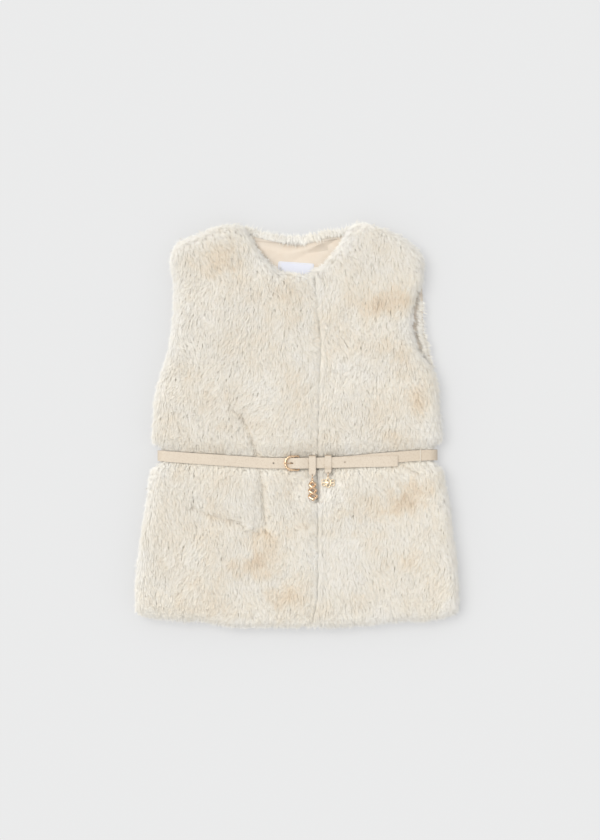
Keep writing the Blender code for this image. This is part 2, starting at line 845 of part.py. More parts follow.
def charm_tab(parts, cutters, finish, row):
    """A leather tab folded round the belt, its two layers lying together below it, with a hole."""
    kind, x, reach, end_z, inner_top = row
    name = f"charm_tab_{kind}"
    half = TAB_THICK / 2
    upper = inner_top + half
    lower = TROUGH_Z - half
    near = STRAP_WIDTH / 2 + SEAM_GAP + half + 0.5
    layer = (TAB_THICK + SEAM_GAP) / 2
    fold_radius = (upper - lower) / 2
    fold = arc((0, 0), 1.0, 90, -90, 6)
    fold = [(near + a, lower + fold_radius * (1 + z)) for a, z in fold]
    rounded = (0.0, 0.5, 1.2, 2.2, 3.8)
    front = [(s - reach, end_z + layer) for s in rounded]
    front += [(-near, max(upper, end_z)), (3 - near, upper), (0.0, upper)]
    behind = [(0.0, lower), (-near, lower)]
    behind += [(s - reach, end_z - layer) for s in reversed(rounded)]
    path = front + fold + behind
    ends = [TAB_HALF_WIDTH * math.sqrt(max(1 - (1 - s / 3.8) ** 2, 0.12)) for s in rounded]
    halves = ends + [TAB_HALF_WIDTH] * (len(path) - 2 * len(ends)) + ends[::-1]
    points = [(x, belt_y(x) + a, z) for a, z in path]
    mesh = strip_mesh(name, points, halves, (1, 0, 0))
    tab = add_object(parts, name, mesh, finish)
    thickness = tab.modifiers.new("thickness", "SOLIDIFY")
    thickness.thickness = TAB_THICK * MM
    thickness.offset = 0
    hole_y = belt_y(x) - reach + TAB_HOLE_IN
    cut(tab, punch(f"{name}_hole", x, hole_y, end_z, 0.85, 6.0, cutters))


def ring_centre(row):
    kind, x, reach, end_z, inner_top = row
    return Vector((x, belt_y(x) - reach + TAB_HOLE_IN - RING_RADIUS, end_z))


def torus(name, centre, radius, wire, turn, parts, finish, around=16, sides=8):
    bpy.ops.mesh.primitive_torus_add(
        major_radius=radius * MM,
        minor_radius=wire * MM,
        major_segments=around,
        minor_segments=sides,
        location=Vector(centre) * MM,
        rotation=turn,
    )
    made = bpy.context.object
    made.name = name
    for users in list(made.users_collection):
        users.objects.unlink(made)
    parts.objects.link(made)
    made.data.materials.append(finish)
    return made


def blob(name, centre, size, cutters, segments=14, rings=8):
    """A flattened ball, used to build up a charm."""
    bpy.ops.mesh.primitive_uv_sphere_add(
        segments=segments, ring_count=rings, radius=1.0, location=Vector(centre) * MM
    )
    made = bpy.context.object
    made.name = name
    made.scale = Vector(size) * MM
    return hidden(made, cutters)


def charm_ring(parts, finish, row):
    """A jump ring, upright through the tab's hole."""
    upright = (0, math.pi / 2, 0)
    torus(f"ring_{row[0]}", ring_centre(row), RING_RADIUS, RING_WIRE, upright, parts, finish)


def charm_eye(parts, finish, row):
    """The charm's own eye, flat, with the ring's wire through it; the charm is built onto it."""
    place = ring_centre(row) - Vector((0, RING_RADIUS, 0))
    charm = torus(f"charm_{row[0]}", place, EYE_RADIUS, EYE_WIRE, (0, 0, 0), parts, finish)
    return charm, place


def knot_charm(parts, cutters, finish):
    """A plain drop of two rounded lobes with a band wound round the waist between them."""
    charm, eye = charm_eye(parts, finish, TABS[0])
    lobes = (
        ("knot_cap", (0.0, -2.6, 0.0), (1.9, 1.8, 1.0)),
        ("knot_upper", (0.0, -7.8, 0.0), (4.8, 4.9, 1.5)),
        ("knot_lower", (0.4, -18.6, 0.0), (5.9, 6.6, 1.8)),
        ("knot_side", (4.6, -15.6, 0.0), (2.0, 1.9, 1.1)),
    )
    for name, offset, size in lobes:
        join(charm, blob(name, eye + Vector(offset), size, cutters))
    slanted = (math.pi / 2, 0.42, 0)
    band = torus("knot_band", eye + Vector((0, -12.4, 0)), 3.3, 1.0, slanted, parts, finish, 14, 8)
    band.scale = (1.15, 0.55, 1.0)
    join(charm, hidden(band, cutters))


def flower_charm(parts, cutters, finish):
    """An open, oval flower: six ring petals round a bead."""
    charm, eye = charm_eye(parts, finish, TABS[1])
    middle = eye + Vector((0, -6.9, 0))
    for k in range(6):
        angle = math.radians(90 + 60 * k)
        place = middle + Vector((math.cos(angle) * 5.8, math.sin(angle) * 3.2, 0))
        petal = torus(f"petal_{k}", place, 2.0, 0.7, (0, 0, 0), parts, finish, 12, 6)
        join(charm, hidden(petal, cutters))
    join(charm, blob("flower_bead", middle, (3.2, 2.2, 1.2), cutters, 12, 6))


def belt_loop(parts, finish):
    """A thread loop that holds the belt's left stretch near the side seam."""
    x = 137.5
    over = TROUGH_Z + SEAM_GAP + STRAP_THICK + SEAM_GAP + 0.5
    half = ((9.2, 20.5), (8.2, 21.1), (6.6, over), (2.5, over + 0.2))
    profile = half + tuple((-a, z) for a, z in reversed(half))
    tube("belt_loop", [(x, belt_y(x) + a, z) for a, z in profile], 0.5, parts, finish)


def main():
    clear_scene()
    parts = collection(COLLECTION)
    cutters = collection("cutters")
    fur = material("faux_fur", FUR_CREAM, 0.9)
    satin = material("lining_satin", LINING_PEACH, 0.5)
    woven = material("label_weave", LABEL_WHITE, 0.7)
    leather = material("strap_leather", STRAP_IVORY, 0.45)
    rose = material("rose_gold", ROSE_GOLD, 0.25, 1.0)
    pale = material("pale_gold", PALE_GOLD, 0.3, 1.0)
    thread = material("loop_thread", FUR_CREAM, 0.8)
    right_front(parts, fur)
    left_front(parts, fur)
    back_and_lining(parts, fur, satin)
    neck_label(parts, woven)
    belt_strap(parts, cutters, leather)
    buckle(parts, rose)
    for row in TABS:
        charm_tab(parts, cutters, leather, row)
        charm_ring(parts, rose, row)
    knot_charm(parts, cutters, rose)
    flower_charm(parts, cutters, pale)
    belt_loop(parts, thread)


main()
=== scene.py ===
"""The looks of a child's faux fur vest, laid flat with its belt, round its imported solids.

Plain lengths in the sizes and tables at the top are millimetres, and heights there are measured up
the vest from its lowest hem point. Everything else is in metres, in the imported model's own frame.
"""

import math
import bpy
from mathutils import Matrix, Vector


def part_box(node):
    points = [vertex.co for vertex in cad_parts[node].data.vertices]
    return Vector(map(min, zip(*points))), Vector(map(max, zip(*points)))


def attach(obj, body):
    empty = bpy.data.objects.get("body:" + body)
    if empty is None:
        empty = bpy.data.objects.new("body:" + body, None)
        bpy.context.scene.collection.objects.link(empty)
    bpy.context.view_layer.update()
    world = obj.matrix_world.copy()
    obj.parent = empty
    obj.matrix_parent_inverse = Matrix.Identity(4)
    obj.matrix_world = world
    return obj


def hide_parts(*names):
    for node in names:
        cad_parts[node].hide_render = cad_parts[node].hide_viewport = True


bl_info = {
    "name": "Faux Fur Vest",
    "version": (1, 0, 0),
    "blender": (4, 5, 0),
    "location": "3D View > Sidebar > Vest",
    "description": "Builds the fur, lining, belt and charms of a child's vest round its packed solids",
    "category": "Object",
}

from itertools import product

import bmesh
import bpy
import numpy as np
from mathutils import Matrix, Vector
from mathutils.kdtree import KDTree

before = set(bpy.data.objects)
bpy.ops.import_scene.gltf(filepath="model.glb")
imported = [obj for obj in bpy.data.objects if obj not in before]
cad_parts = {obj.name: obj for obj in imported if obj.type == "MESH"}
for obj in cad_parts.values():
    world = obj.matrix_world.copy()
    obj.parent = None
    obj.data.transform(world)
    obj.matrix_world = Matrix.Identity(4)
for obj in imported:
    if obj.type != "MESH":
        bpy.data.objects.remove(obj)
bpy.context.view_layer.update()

MM = 0.001
UP = (0, 0, 1)
HALF_LENGTH = 229.6  # from the lowest hem point up to the model's origin
FRONTS_BASE = 10.6  # the surface that the fronts lie on
BACK_FACE = 10.3  # the back's upper face
FRONT_FUR_LOW = 7.0  # how low the fronts' pile hangs over the back's edge
BACK_FUR_LOW = 0.2  # how low the back's pile lies above the floor
BACK_RIM_TOP = 9.5  # the back's outline lies below this height above the floor
BACKING_INSET = 8.0  # how far a backing is drawn in from its panel's outline
FACING_SEAM = 204.4 * MM  # the neck facing's seam at its lowest, above the model's origin
FACING_CURVE = 1.95  # how fast that seam rises to its sides, for each metre squared
FACING_ASIDE = 6.0 * MM  # how far left of the model's middle that seam is lowest
BELT_CLEAR = 6.6 * MM  # from the belt's middle line to where the pile above it stops
LABEL_TILT = math.radians(-4.0)
STITCH_PITCH = 1.9 * MM
BUCKLE_NOTCHES = 22  # rounds of the buckle's ribbed wire in a full turn
KNOT_EYE = 1.05 * MM  # middle radius of the knot charm's eye
KNOT_WIRE = 0.4 * MM  # radius of that eye's wire
KNOT_LOOPS = 3
KNOT_STEPS = 96  # straight pieces that make up each bar of the knot charm
LIGHT_FROM = (-0.44, 0.24, 1.0)  # the direction that the soft light comes from
AIM = (2.8 * MM, 6.2 * MM)  # the place that the camera looks straight down at
FLOOR_DROP = 0.3 * MM  # how far the floor lies below the vest
FLOOR_HALF = 3.0

# Where the fronts leave the back's own edge bare: half width and lowest height of the neck, and
# place across, lowest and highest height of the right armhole
BARE_NECK = (70.0, 425.6)
BARE_ARMHOLE = (125.0, 281.6, 379.6)
# The thread loop's middle line at its upper end: how far in from the end, height above the floor
LOOP_LINE = ((0.5, 20.5), (1.5, 21.1), (3.1, 21.75))
# The two fronts: side, strands above and below the belt, flat size in metres, cut area in square metres
FRONT_CUTS = (
    ("right", (91000, 91000), (0.212, 0.458), 0.083),
    ("left", (79000, 83000), (0.192, 0.460), 0.074),
)

# The belt's middle line over the fronts: place across, height
BELT_LINE = (
    (-157.0, 195.6), (-109.0, 192.3), (-64.5, 189.4), (-26.0, 187.4), (3.0, 187.5), (25.0, 187.9),
    (42.0, 188.4), (62.0, 189.9), (79.0, 191.6), (113.0, 194.4), (131.0, 195.8), (157.0, 196.6),
)
# Closing edge of the right front: height, place across
CLOSING_LINE = (
    (5.7, 15.8), (36, 21.3), (80.9, 21.9), (196.5, 21.9), (278.4, 23.7), (325.6, 24.9), (394.5, 18.2),
)
# The fronts' upper faces beside the closing edge: height, height of the face above the floor
CLOSING_TOPS = (
    (0, 16.0), (4, 19.0), (8, 22.0), (12, 23.6), (20, 24.5), (110, 24.5), (150, 23.2), (165, 22.6),
    (174, 20.4), (182, 17.5), (194, 17.5), (202, 20.8), (210, 24.0), (218, 24.6), (385, 24.5),
    (393, 22.8), (399, 19.4),
)
# Lines along which the pile parts: points (place across, height), then how far the parting reaches
PARTINGS = (
    (((-74, 248), (-63, 243), (-57, 230), (-51, 213), (-45, 195), (-39, 160), (-38, 135), (-36, 113)), 7.5),
    (((-117, 138), (-96, 129), (-80, 125), (-64, 120), (-58, 113), (-44, 110)), 6.5),
    (((117, 186), (132, 177)), 5.0),
)
# Warmer places in the pile: place across, height, half width, half height, strength
WARM_PATCHES = (
    (-85, 413, 22, 16, 0.34), (-5, 373, 16, 26, 0.26), (113, 366, 22, 14, 0.40), (74, 361, 20, 18, 0.20),
    (-5, 281, 20, 24, 0.16), (118, 313, 22, 24, 0.24), (134, 257, 12, 20, 0.30), (115, 217, 16, 10, 0.20),
    (123, 148, 24, 16, 0.38), (135, 157, 16, 14, 0.22), (71, 142, 26, 16, 0.20), (32, 121, 26, 14, 0.24),
    (84, 107, 24, 14, 0.18), (70, 34, 18, 14, 0.26), (-16, 37, 22, 16, 0.22), (132, 80, 20, 16, 0.12),
    (-128, 176, 20, 12, 0.18), (-89, 132, 22, 12, 0.16), (-48, 103, 18, 12, 0.24), (-53, 73, 18, 14, 0.42),
    (-31, 90, 14, 20, 0.24), (-17, 37, 14, 12, 0.16), (-5, 168, 18, 20, 0.14), (-120, 30, 40, 16, 0.10),
)


def tint(name, description, colour):
    """A colour property whose default is given as linear red, green and blue."""
    return bpy.props.FloatVectorProperty(
        name=name, description=description, subtype="COLOR", size=3, min=0, max=1, default=colour
    )


def length(name, description, millimetres):
    """A length property whose default is given in millimetres."""
    return bpy.props.FloatProperty(
        name=name, description=description, default=millimetres * MM, min=0,
        unit="LENGTH", subtype="DISTANCE",
    )


class FurSettings(bpy.types.PropertyGroup):
    """Pile of the three fur panels"""

    strand: length("Strand length", "Length of a strand of the pile", 8.5)
    depth: length("Pile depth", "Depth of the pile under the strands' tips", 2.9)
    edge_depth: length("Edge depth", "Further depth of the pile at a panel's edges", 2.8)
    width: length("Strand width", "Width of a strand at its middle", 0.53)
    thick: length("Thick pile", "How far inside a panel's outline its thick pile ends", 5.0)
    fuzz: length("Fuzz", "Mean reach of the thin pile beyond the thick pile", 1.75)
    lap: length("Lap fringe", "How much further the pile reaches over the closing edge", 4.0)
    slit: length("Closing slit", "Depth of the line between the two fronts' pile", 3.0)
    clump: length("Clump size", "Distance between the clumps that strands gather in", 4.0)
    swirl: bpy.props.FloatProperty(
        name="Swirl", description="How far the pile's lie turns from straight down", default=0.75,
        min=0, max=1.5, subtype="ANGLE",
    )
    pale: tint("Pale tips", "Lightest tone of the pile", (0.940, 0.919, 0.868))
    cream: tint("Cream", "Main tone of the pile", (0.908, 0.856, 0.751))
    peach: tint("Peach", "Warm tone of the pile", (0.874, 0.760, 0.598))
    tan: tint("Tan", "Deepest tone of the pile", (0.700, 0.540, 0.370))
    backing: tint("Backing", "Knitted backing under the pile", (0.860, 0.800, 0.690))


class LiningSettings(bpy.types.PropertyGroup):
    """Lining and label"""

    peach: tint("Satin", "Main tone of the lining", (0.725, 0.605, 0.480))
    # The lighter satin tone paints the satin's sheen into its colour: painted sheen.
    light: tint("Satin sheen", "Lighter tone of the lining", (0.775, 0.700, 0.595))
    label: tint("Label", "Woven label", (0.770, 0.785, 0.870))


class TrimSettings(bpy.types.PropertyGroup):
    """Belt, buckle, charms and thread"""

    leather: tint("Strap", "Main tone of the strap", (0.655, 0.571, 0.463))
    # The deeper strap tone also paints shade along the cut edges and beyond the strap's free end.
    leather_dark: tint("Strap grain", "Tone of the strap's grain and cut edges", (0.400, 0.300, 0.195))
    rose: tint("Rose gold", "Buckle, rings and the knot charm", (0.875, 0.640, 0.430))
    pale: tint("Pale gold", "Flower charm", (0.870, 0.720, 0.520))
    thread: tint("Thread", "Belt loop and label stitches", (0.840, 0.780, 0.670))


class StageSettings(bpy.types.PropertyGroup):
    """Floor, light and camera"""

    floor: tint("Floor", "Tone of the pale floor", (0.360, 0.360, 0.360))
    glow: bpy.props.FloatProperty(
        name="Table light", description="Light that comes up through the floor", default=0.390, min=0
    )
    sky: bpy.props.FloatProperty(
        name="Room light", description="Even light all round", default=0.73, min=0
    )
    sun: bpy.props.FloatProperty(
        name="Soft light", description="Strength of the main light", default=1.76, min=0
    )
    spread: bpy.props.FloatProperty(
        name="Light size", description="How wide the main light is", default=math.radians(44),
        subtype="ANGLE",
    )
    distance: length("Camera height", "Camera above the surface", 2634.0)
    lens: bpy.props.FloatProperty(
        name="Lens", description="Focal length", default=100.0, subtype="DISTANCE_CAMERA"
    )


# Materials


class Number:
    """A socket or a plain number, with arithmetic that adds Math nodes."""

    def __init__(self, finish, socket):
        self.finish = finish
        self.socket = socket

    def math(self, operation, *others):
        inputs = dict(enumerate((self, *others)))
        node = self.finish.add("ShaderNodeMath", {"operation": operation}, inputs)
        return Number(self.finish, node.outputs[0])

    def __add__(self, other):
        return self.math("ADD", other)

    def __mul__(self, other):
        return self.math("MULTIPLY", other)

    def __sub__(self, other):
        return self.math("SUBTRACT", other)

    def __rsub__(self, other):
        return Number(self.finish, other).math("SUBTRACT", self)

    def clamped(self):
        return self.math("MAXIMUM", 0.0).math("MINIMUM", 1.0)

    __radd__ = __add__
    __rmul__ = __mul__


class Finish:
    """A material and the nodes that make it."""

    def __init__(self, name):
        self.material = bpy.data.materials.new(name)
        self.material.use_nodes = True
        self.tree = self.material.node_tree
        self.shader = self.tree.nodes["Principled BSDF"]

    def put(self, socket, given):
        """Links a socket, or sets its value."""
        given = given.socket if isinstance(given, Number) else given
        if isinstance(given, bpy.types.NodeSocket):
            self.tree.links.new(given, socket)
        elif hasattr(given, "__len__") and len(given) == 3 and socket.type == "RGBA":
            socket.default_value = (*given, 1.0)
        else:
            socket.default_value = given

    def add(self, kind, settings=None, inputs=None):
        """A node of a kind: its settings first, then the values or links of its sockets."""
        node = self.tree.nodes.new(kind)
        for key, setting in (settings or {}).items():
            if key == "stops":
                ramp = node.color_ramp
                while len(ramp.elements) > 1:
                    ramp.elements.remove(ramp.elements[-1])
                ramp.elements[0].position = setting[0][0]
                ramp.elements[0].color = (*setting[0][1], 1.0)
                for position, colour in setting[1:]:
                    ramp.elements.new(position).color = (*colour, 1.0)
            else:
                setattr(node, key, setting)
        for key, given in (inputs or {}).items():
            self.put(node.inputs[key], given)
        return node

    def out(self, node, name=0):
        return Number(self, node.outputs[name])

    def place(self, kind="Object"):
        return self.add("ShaderNodeTexCoord").outputs[kind]

    def parts_of(self, vector):
        """A node whose outputs X, Y and Z are the parts of a vector."""
        return self.add("ShaderNodeSeparateXYZ", {}, {0: vector})

    def noise(self, scale, detail=2.0, roughness=0.5):
        inputs = {"Vector": self.place(), "Scale": scale, "Detail": detail, "Roughness": roughness}
        return self.out(self.add("ShaderNodeTexNoise", {}, inputs))

    def cells(self, scale, feature="F1"):
        inputs = {"Vector": self.place(), "Scale": scale}
        return self.out(self.add("ShaderNodeTexVoronoi", {"feature": feature}, inputs))

    def stripes(self, scale, direction, distortion=0.0):
        settings = {"wave_type": "BANDS", "bands_direction": direction}
        inputs = {"Vector": self.place(), "Scale": scale, "Distortion": distortion, "Detail": 1.0}
        return self.out(self.add("ShaderNodeTexWave", settings, inputs), "Fac")

    def mix(self, factor, first, second, blend="MIX"):
        """Two colours mixed; a Mix node's sockets 6 and 7 and its output 2 are its colours."""
        settings = {"data_type": "RGBA", "blend_type": blend}
        return self.add("ShaderNodeMix", settings, {"Factor": factor, 6: first, 7: second}).outputs[2]

    def ramp(self, factor, stops):
        return self.add("ShaderNodeValToRGB", {"stops": stops}, {"Fac": factor}).outputs["Color"]

    def bump(self, height, strength, distance):
        """Raises the surface by a height, through a Bump node on the shader's Normal."""
        inputs = {"Height": height, "Strength": strength, "Distance": distance}
        self.put(self.shader.inputs["Normal"], self.add("ShaderNodeBump", {}, inputs).outputs[0])

    def surface(self, **sockets):
        """Values or links of the shader's own sockets, named with _ for a space."""
        for key, given in sockets.items():
            self.put(self.shader.inputs[key.replace("_", " ")], given)
        return self.material


FINISHES = {}


def finish_of(make):
    """The material that a function below makes, named for it and made once."""
    name = make.__name__
    if name not in FINISHES:
        FINISHES[name] = make(Finish(name))
    return FINISHES[name]


def darker(colour, share):
    """A share of each part of a colour."""
    return [c * share for c in colour]


def fur_pile(made):
    """Strand colour from the strand's own tone (across) and from root to tip (up)."""
    own = bpy.context.scene.vest_fur
    uv = made.parts_of(made.add("ShaderNodeUVMap", {"uv_map": "OFBake"}).outputs[0])
    tone = made.out(uv, "X")
    along = made.out(uv, "Y")
    stops = [(0.0, own.pale), (0.34, own.cream), (0.66, own.peach), (1.0, own.tan)]
    colour = made.ramp(tone, stops)
    # Strands grow darker and warmer towards their roots: a warmer undercoat, and painted shade deep in the
    # pile.
    root = made.mix(1.0, colour, (0.97, 0.94, 0.90), "MULTIPLY")
    tip = made.mix(0.32, colour, own.pale)
    shaded = made.mix((along * 1.7).clamped(), root, colour)
    return made.surface(
        Base_Color=made.mix(((along - 0.45) * 1.8).clamped(), shaded, tip),
        Roughness=0.74, Specular_IOR_Level=0.22, Sheen_Weight=0.22, Sheen_Roughness=0.45,
        Sheen_Tint=(1.0, 0.96, 0.9),
    )


def fur_backing(made):
    """Knitted cloth with slightly darker patches."""
    own = bpy.context.scene.vest_fur
    knit = made.stripes(420.0, "X") * made.stripes(360.0, "Y")
    made.bump(knit, 0.5, 0.4 * MM)
    patches = made.noise(34.0, 3.0)
    colour = made.mix(patches, own.backing, darker(own.backing, 0.86))
    return made.surface(Base_Color=made.mix(knit * 0.25, colour, own.cream), Roughness=0.9)


def lining_satin(made):
    """Woven satin with a soft sheen, painted into its colour as well as set on the shader, and the seam of
    the neck facing across it.
    """
    own = bpy.context.scene.vest_lining
    soft = made.noise(46.0, 3.0, 0.55)
    warp = made.stripes(1500.0, "X", 0.4)
    weft = made.stripes(1250.0, "Y", 0.4)
    weave = warp * 0.6 + weft * 0.4
    # Soft patches are lighter towards the sheen tone: painted sheen.
    colour = made.mix((soft * 1.5 - 0.25).clamped(), own.peach, own.light)
    # The neck facing's seam is curved like the back neck
    spot = made.parts_of(made.place())
    aside = made.out(spot, "X") + FACING_ASIDE
    over = made.out(spot, "Y") - aside * aside * FACING_CURVE - FACING_SEAM
    seam = (1 - over.math("ABSOLUTE") * 1100.0).clamped()
    # Above its seam the facing is lighter towards the sheen tone: painted sheen.
    colour = made.mix((over * 900.0).clamped() * 0.55, colour, own.light)
    colour = made.mix(seam * 0.45, colour, darker(own.peach, 0.62))
    made.bump(weave + made.noise(260.0, 2.0) * 0.7, 0.16, 0.3 * MM)
    # The weave's threads are lighter towards the sheen tone: painted sheen.
    return made.surface(
        Base_Color=made.mix(weave * 0.12, colour, own.light),
        Roughness=made.noise(120.0) * 0.12 + 0.44, Sheen_Weight=0.25, Sheen_Roughness=0.35,
    )


def label_weave(made):
    """Ribbed ribbon, blank, with a few lighter threads."""
    own = bpy.context.scene.vest_lining
    rib = made.stripes(1100.0, "Y")
    picks = made.stripes(1700.0, "X")
    weave = rib * 0.65 + picks * 0.35
    shade = made.mix(weave * 0.35, own.label, darker(own.label, 0.90))
    made.bump(weave, 0.35, 0.2 * MM)
    return made.surface(
        Base_Color=made.mix(made.noise(90.0) * 0.3, shade, (0.85, 0.86, 0.91)),
        Roughness=0.62, Sheen_Weight=0.12,
    )


def strap_leather(made):
    """Smooth-grained leather, with its cut edges darker, partly as edge paint and partly as painted shade,
    and a little uneven shine on the faces.
    """
    own = bpy.context.scene.vest_trim
    grain = made.cells(1150.0, "DISTANCE_TO_EDGE")
    fine = made.noise(2600.0, 3.0)
    mottle = made.noise(640.0, 2.0, 0.6)
    broad = made.noise(38.0, 4.0, 0.6)
    side = made.parts_of(made.place("Normal"))
    # The cut edges, found by their sideways normals, are darker: partly edge paint, partly painted shade.
    edge_paint_and_shade = ((made.out(side, "Y").math("ABSOLUTE") - 0.25) * 2.2).clamped()
    # The grain's grooves are darker: partly the grain's own tone, partly painted shade in the grooves.
    creases = (1 - (grain * 7.0).clamped()) * 0.22
    lighter = [min(1, c * 1.12) for c in own.leather]
    face = made.mix((broad * 1.6 - 0.3).clamped() * 0.6, own.leather, lighter)
    face = made.mix(((0.54 - mottle) * 3.5).clamped() * 0.30 + creases, face, own.leather_dark)
    # Beyond its free end, towards the vest's right side, the strap is a little darker: painted shade.
    under = (made.out(made.parts_of(made.place()), "X") * 60.0 - 6.2).clamped() * 0.16
    face = made.mix(under, face, own.leather_dark)
    made.bump((grain * 5.0).clamped() + fine * 0.5 + mottle, 0.25, 0.14 * MM)
    return made.surface(
        Base_Color=made.mix(edge_paint_and_shade * 0.75, face, own.leather_dark),
        Roughness=(fine * 0.16 + broad * 0.12 + 0.36).clamped(), Specular_IOR_Level=0.45,
    )


def polished(made, colour, painted_shade_share, roughness):
    """Plated metal with light handling marks, and cloudy patches painted darker, a share of its colour:
    painted shade.
    """
    marks = made.noise(900.0, 4.0, 0.7)
    clouds = made.noise(160.0, 2.0)
    made.bump(marks + made.cells(520.0) * 0.4, 0.10, 0.2 * MM)
    # Cloudy patches are painted darker, a share of the metal's colour: painted shade.
    return made.surface(
        Base_Color=made.mix((clouds * 1.4 - 0.2).clamped() * 0.5, colour, darker(colour, painted_shade_share)),
        Metallic=1.0, Roughness=(marks * 0.16 + clouds * 0.10 + roughness).clamped(),
    )


def rose_gold(made):
    return polished(made, bpy.context.scene.vest_trim.rose, 0.70, 0.10)


def pale_gold(made):
    return polished(made, bpy.context.scene.vest_trim.pale, 0.88, 0.16)


def spun_thread(made):
    """Twisted fibres, painted darker between them: painted shade."""
    thread = bpy.context.scene.vest_trim.thread
    fibres = made.noise(2400.0, 3.0, 0.7)
    made.bump(fibres, 0.4, 0.2 * MM)
    return made.surface(
        Base_Color=made.mix(fibres * 0.5, thread, darker(thread, 0.80)),
        Roughness=0.82, Sheen_Weight=0.2,
    )


def floor_paper(made):
    """Matt paper over a lit table, so that shadows stay light."""
    own = bpy.context.scene.vest_stage
    made.bump(made.noise(700.0, 2.0), 0.03, 0.2 * MM)
    return made.surface(
        Base_Color=own.floor, Roughness=0.95, Specular_IOR_Level=0.0,
        Emission_Color=(0.995, 1.0, 1.0), Emission_Strength=own.glow,
    )


# Shapes


def to_model(x, height):
    """A place across and a height up the vest, in millimetres, as the model's X and Y."""
    return x * MM, (height - HALF_LENGTH) * MM


def height_of(points):
    """How far up the vest each point is, in millimetres."""
    return points[:, 1] / MM + HALF_LENGTH


def read_off(table, at):
    """A table's second column at places along its first."""
    rows = np.array(table)
    return np.interp(at, rows[:, 0], rows[:, 1])


def smooth_step(low, high, value):
    """0 up to low, 1 from high on, and a smooth rise between them."""
    share = np.clip((value - low) / (high - low), 0, 1)
    return share * share * (3 - 2 * share)


def lattice(x, y, size, seed):
    """Soft noise from -1 to 1 over the plane, with features about as wide as size."""
    table = np.random.default_rng(seed).uniform(-1, 1, (64, 64))
    u, v = x / size, y / size
    i, j = np.floor(u).astype(int), np.floor(v).astype(int)
    s, t = smooth_step(0, 1, u - i), smooth_step(0, 1, v - j)
    i, j = i % 64, j % 64
    k, m = (i + 1) % 64, (j + 1) % 64
    low = table[i, j] * (1 - s) + table[k, j] * s
    high = table[i, m] * (1 - s) + table[k, m] * s
    return low * (1 - t) + high * t


def unit(v):
    """Each row of an array of directions, made one long."""
    return v / np.maximum(np.linalg.norm(v, axis=1, keepdims=True), 1e-9)


def along_cloth(v, normals):
    """The part of each direction that lies along the cloth."""
    return v - normals * (v * normals).sum(axis=1)[:, None]


def away_from(x, y, line):
    """Distance of each point to a line, and the flat direction that leads away from it."""
    best = np.full(x.shape, np.inf)
    lead = np.zeros((len(x), 2))
    for (x0, h0), (x1, h1) in zip(line[:-1], line[1:]):
        ax, ay = to_model(x0, h0)
        bx, by = to_model(x1, h1)
        dx, dy = bx - ax, by - ay
        share = np.clip(((x - ax) * dx + (y - ay) * dy) / (dx * dx + dy * dy), 0, 1)
        gap = np.column_stack([x - ax - share * dx, y - ay - share * dy])
        far = np.hypot(gap[:, 0], gap[:, 1])
        closer = far < best
        best[closer] = far[closer]
        lead[closer] = gap[closer] / np.maximum(far[closer], 1e-6)[:, None]
    return best, lead


class Surface:
    """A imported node's faces with shared corners and smooth normals."""

    def __init__(self, node, rim_top=math.inf):
        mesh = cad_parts[node].data
        mesh.calc_loop_triangles()
        co = np.zeros(len(mesh.vertices) * 3)
        mesh.vertices.foreach_get("co", co)
        tri = np.zeros(len(mesh.loop_triangles) * 3, int)
        mesh.loop_triangles.foreach_get("vertices", tri)
        co = co.reshape(-1, 3)
        places = np.round(co / 1e-6).astype(np.int64)
        _, first, shared = np.unique(places, axis=0, return_index=True, return_inverse=True)
        self.points = co[first]
        self.faces = shared.ravel()[tri.reshape(-1, 3)]
        corners = self.points[self.faces]
        cross = np.cross(corners[:, 1] - corners[:, 0], corners[:, 2] - corners[:, 0])
        self.area = np.linalg.norm(cross, axis=1) / 2
        self.facing = unit(cross)
        self.middle = corners.mean(axis=1)
        normals = np.zeros_like(self.points)
        for k in range(3):
            np.add.at(normals, self.faces[:, k], cross)
        self.normals = unit(normals)
        upright = np.abs(self.normals[:, 2]) < 0.45
        self.rim = np.flatnonzero(upright & (self.points[:, 2] < rim_top * MM))
        self.tree = KDTree(len(self.rim))
        for k, corner in enumerate(self.rim):
            self.tree.insert((self.points[corner, 0], self.points[corner, 1], 0), k)
        self.tree.balance()

    def outline(self, points):
        """How far each point is outside the nearest part of the panel's outline, and the way out there."""
        nearest = self.rim[[self.tree.find((x, y, 0))[1] for x, y in points[:, :2]]]
        way = unit(self.normals[nearest] * (1, 1, 0))
        return ((points - self.points[nearest]) * way).sum(axis=1), way

    def scatter(self, count, weight, rng):
        """Points spread over the faces by area times weight, with their smooth normals."""
        share = self.area * weight
        share = share / share.sum()
        chosen = rng.choice(len(self.faces), size=count, p=share)
        a, b = rng.random(count), rng.random(count)
        over = a + b > 1
        a[over], b[over] = 1 - a[over], 1 - b[over]
        mix = np.column_stack([1 - a - b, a, b])[:, :, None]
        corners = self.faces[chosen]
        return (self.points[corners] * mix).sum(axis=1), unit((self.normals[corners] * mix).sum(axis=1))


def new_piece(name, mesh, finish, body):
    """A piece with one finish, which rides on a body."""
    made = bpy.data.objects.new(name, mesh)
    bpy.context.scene.collection.objects.link(made)
    mesh.materials.clear()
    mesh.materials.append(finish)
    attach(made, body)
    return made


def mesh_of(name, points, faces):
    """A mesh from arrays of points and of triangles or quads."""
    mesh = bpy.data.meshes.new(name)
    corners = faces.shape[1]
    mesh.vertices.add(len(points))
    mesh.vertices.foreach_set("co", np.ascontiguousarray(points, np.float32).ravel())
    mesh.loops.add(faces.size)
    mesh.loops.foreach_set("vertex_index", np.ascontiguousarray(faces, np.int32).ravel())
    mesh.polygons.add(len(faces))
    mesh.polygons.foreach_set("loop_start", np.arange(0, faces.size, corners, dtype=np.int32))
    mesh.polygons.foreach_set("use_smooth", np.ones(len(faces), bool))
    mesh.update(calc_edges=True)
    return mesh


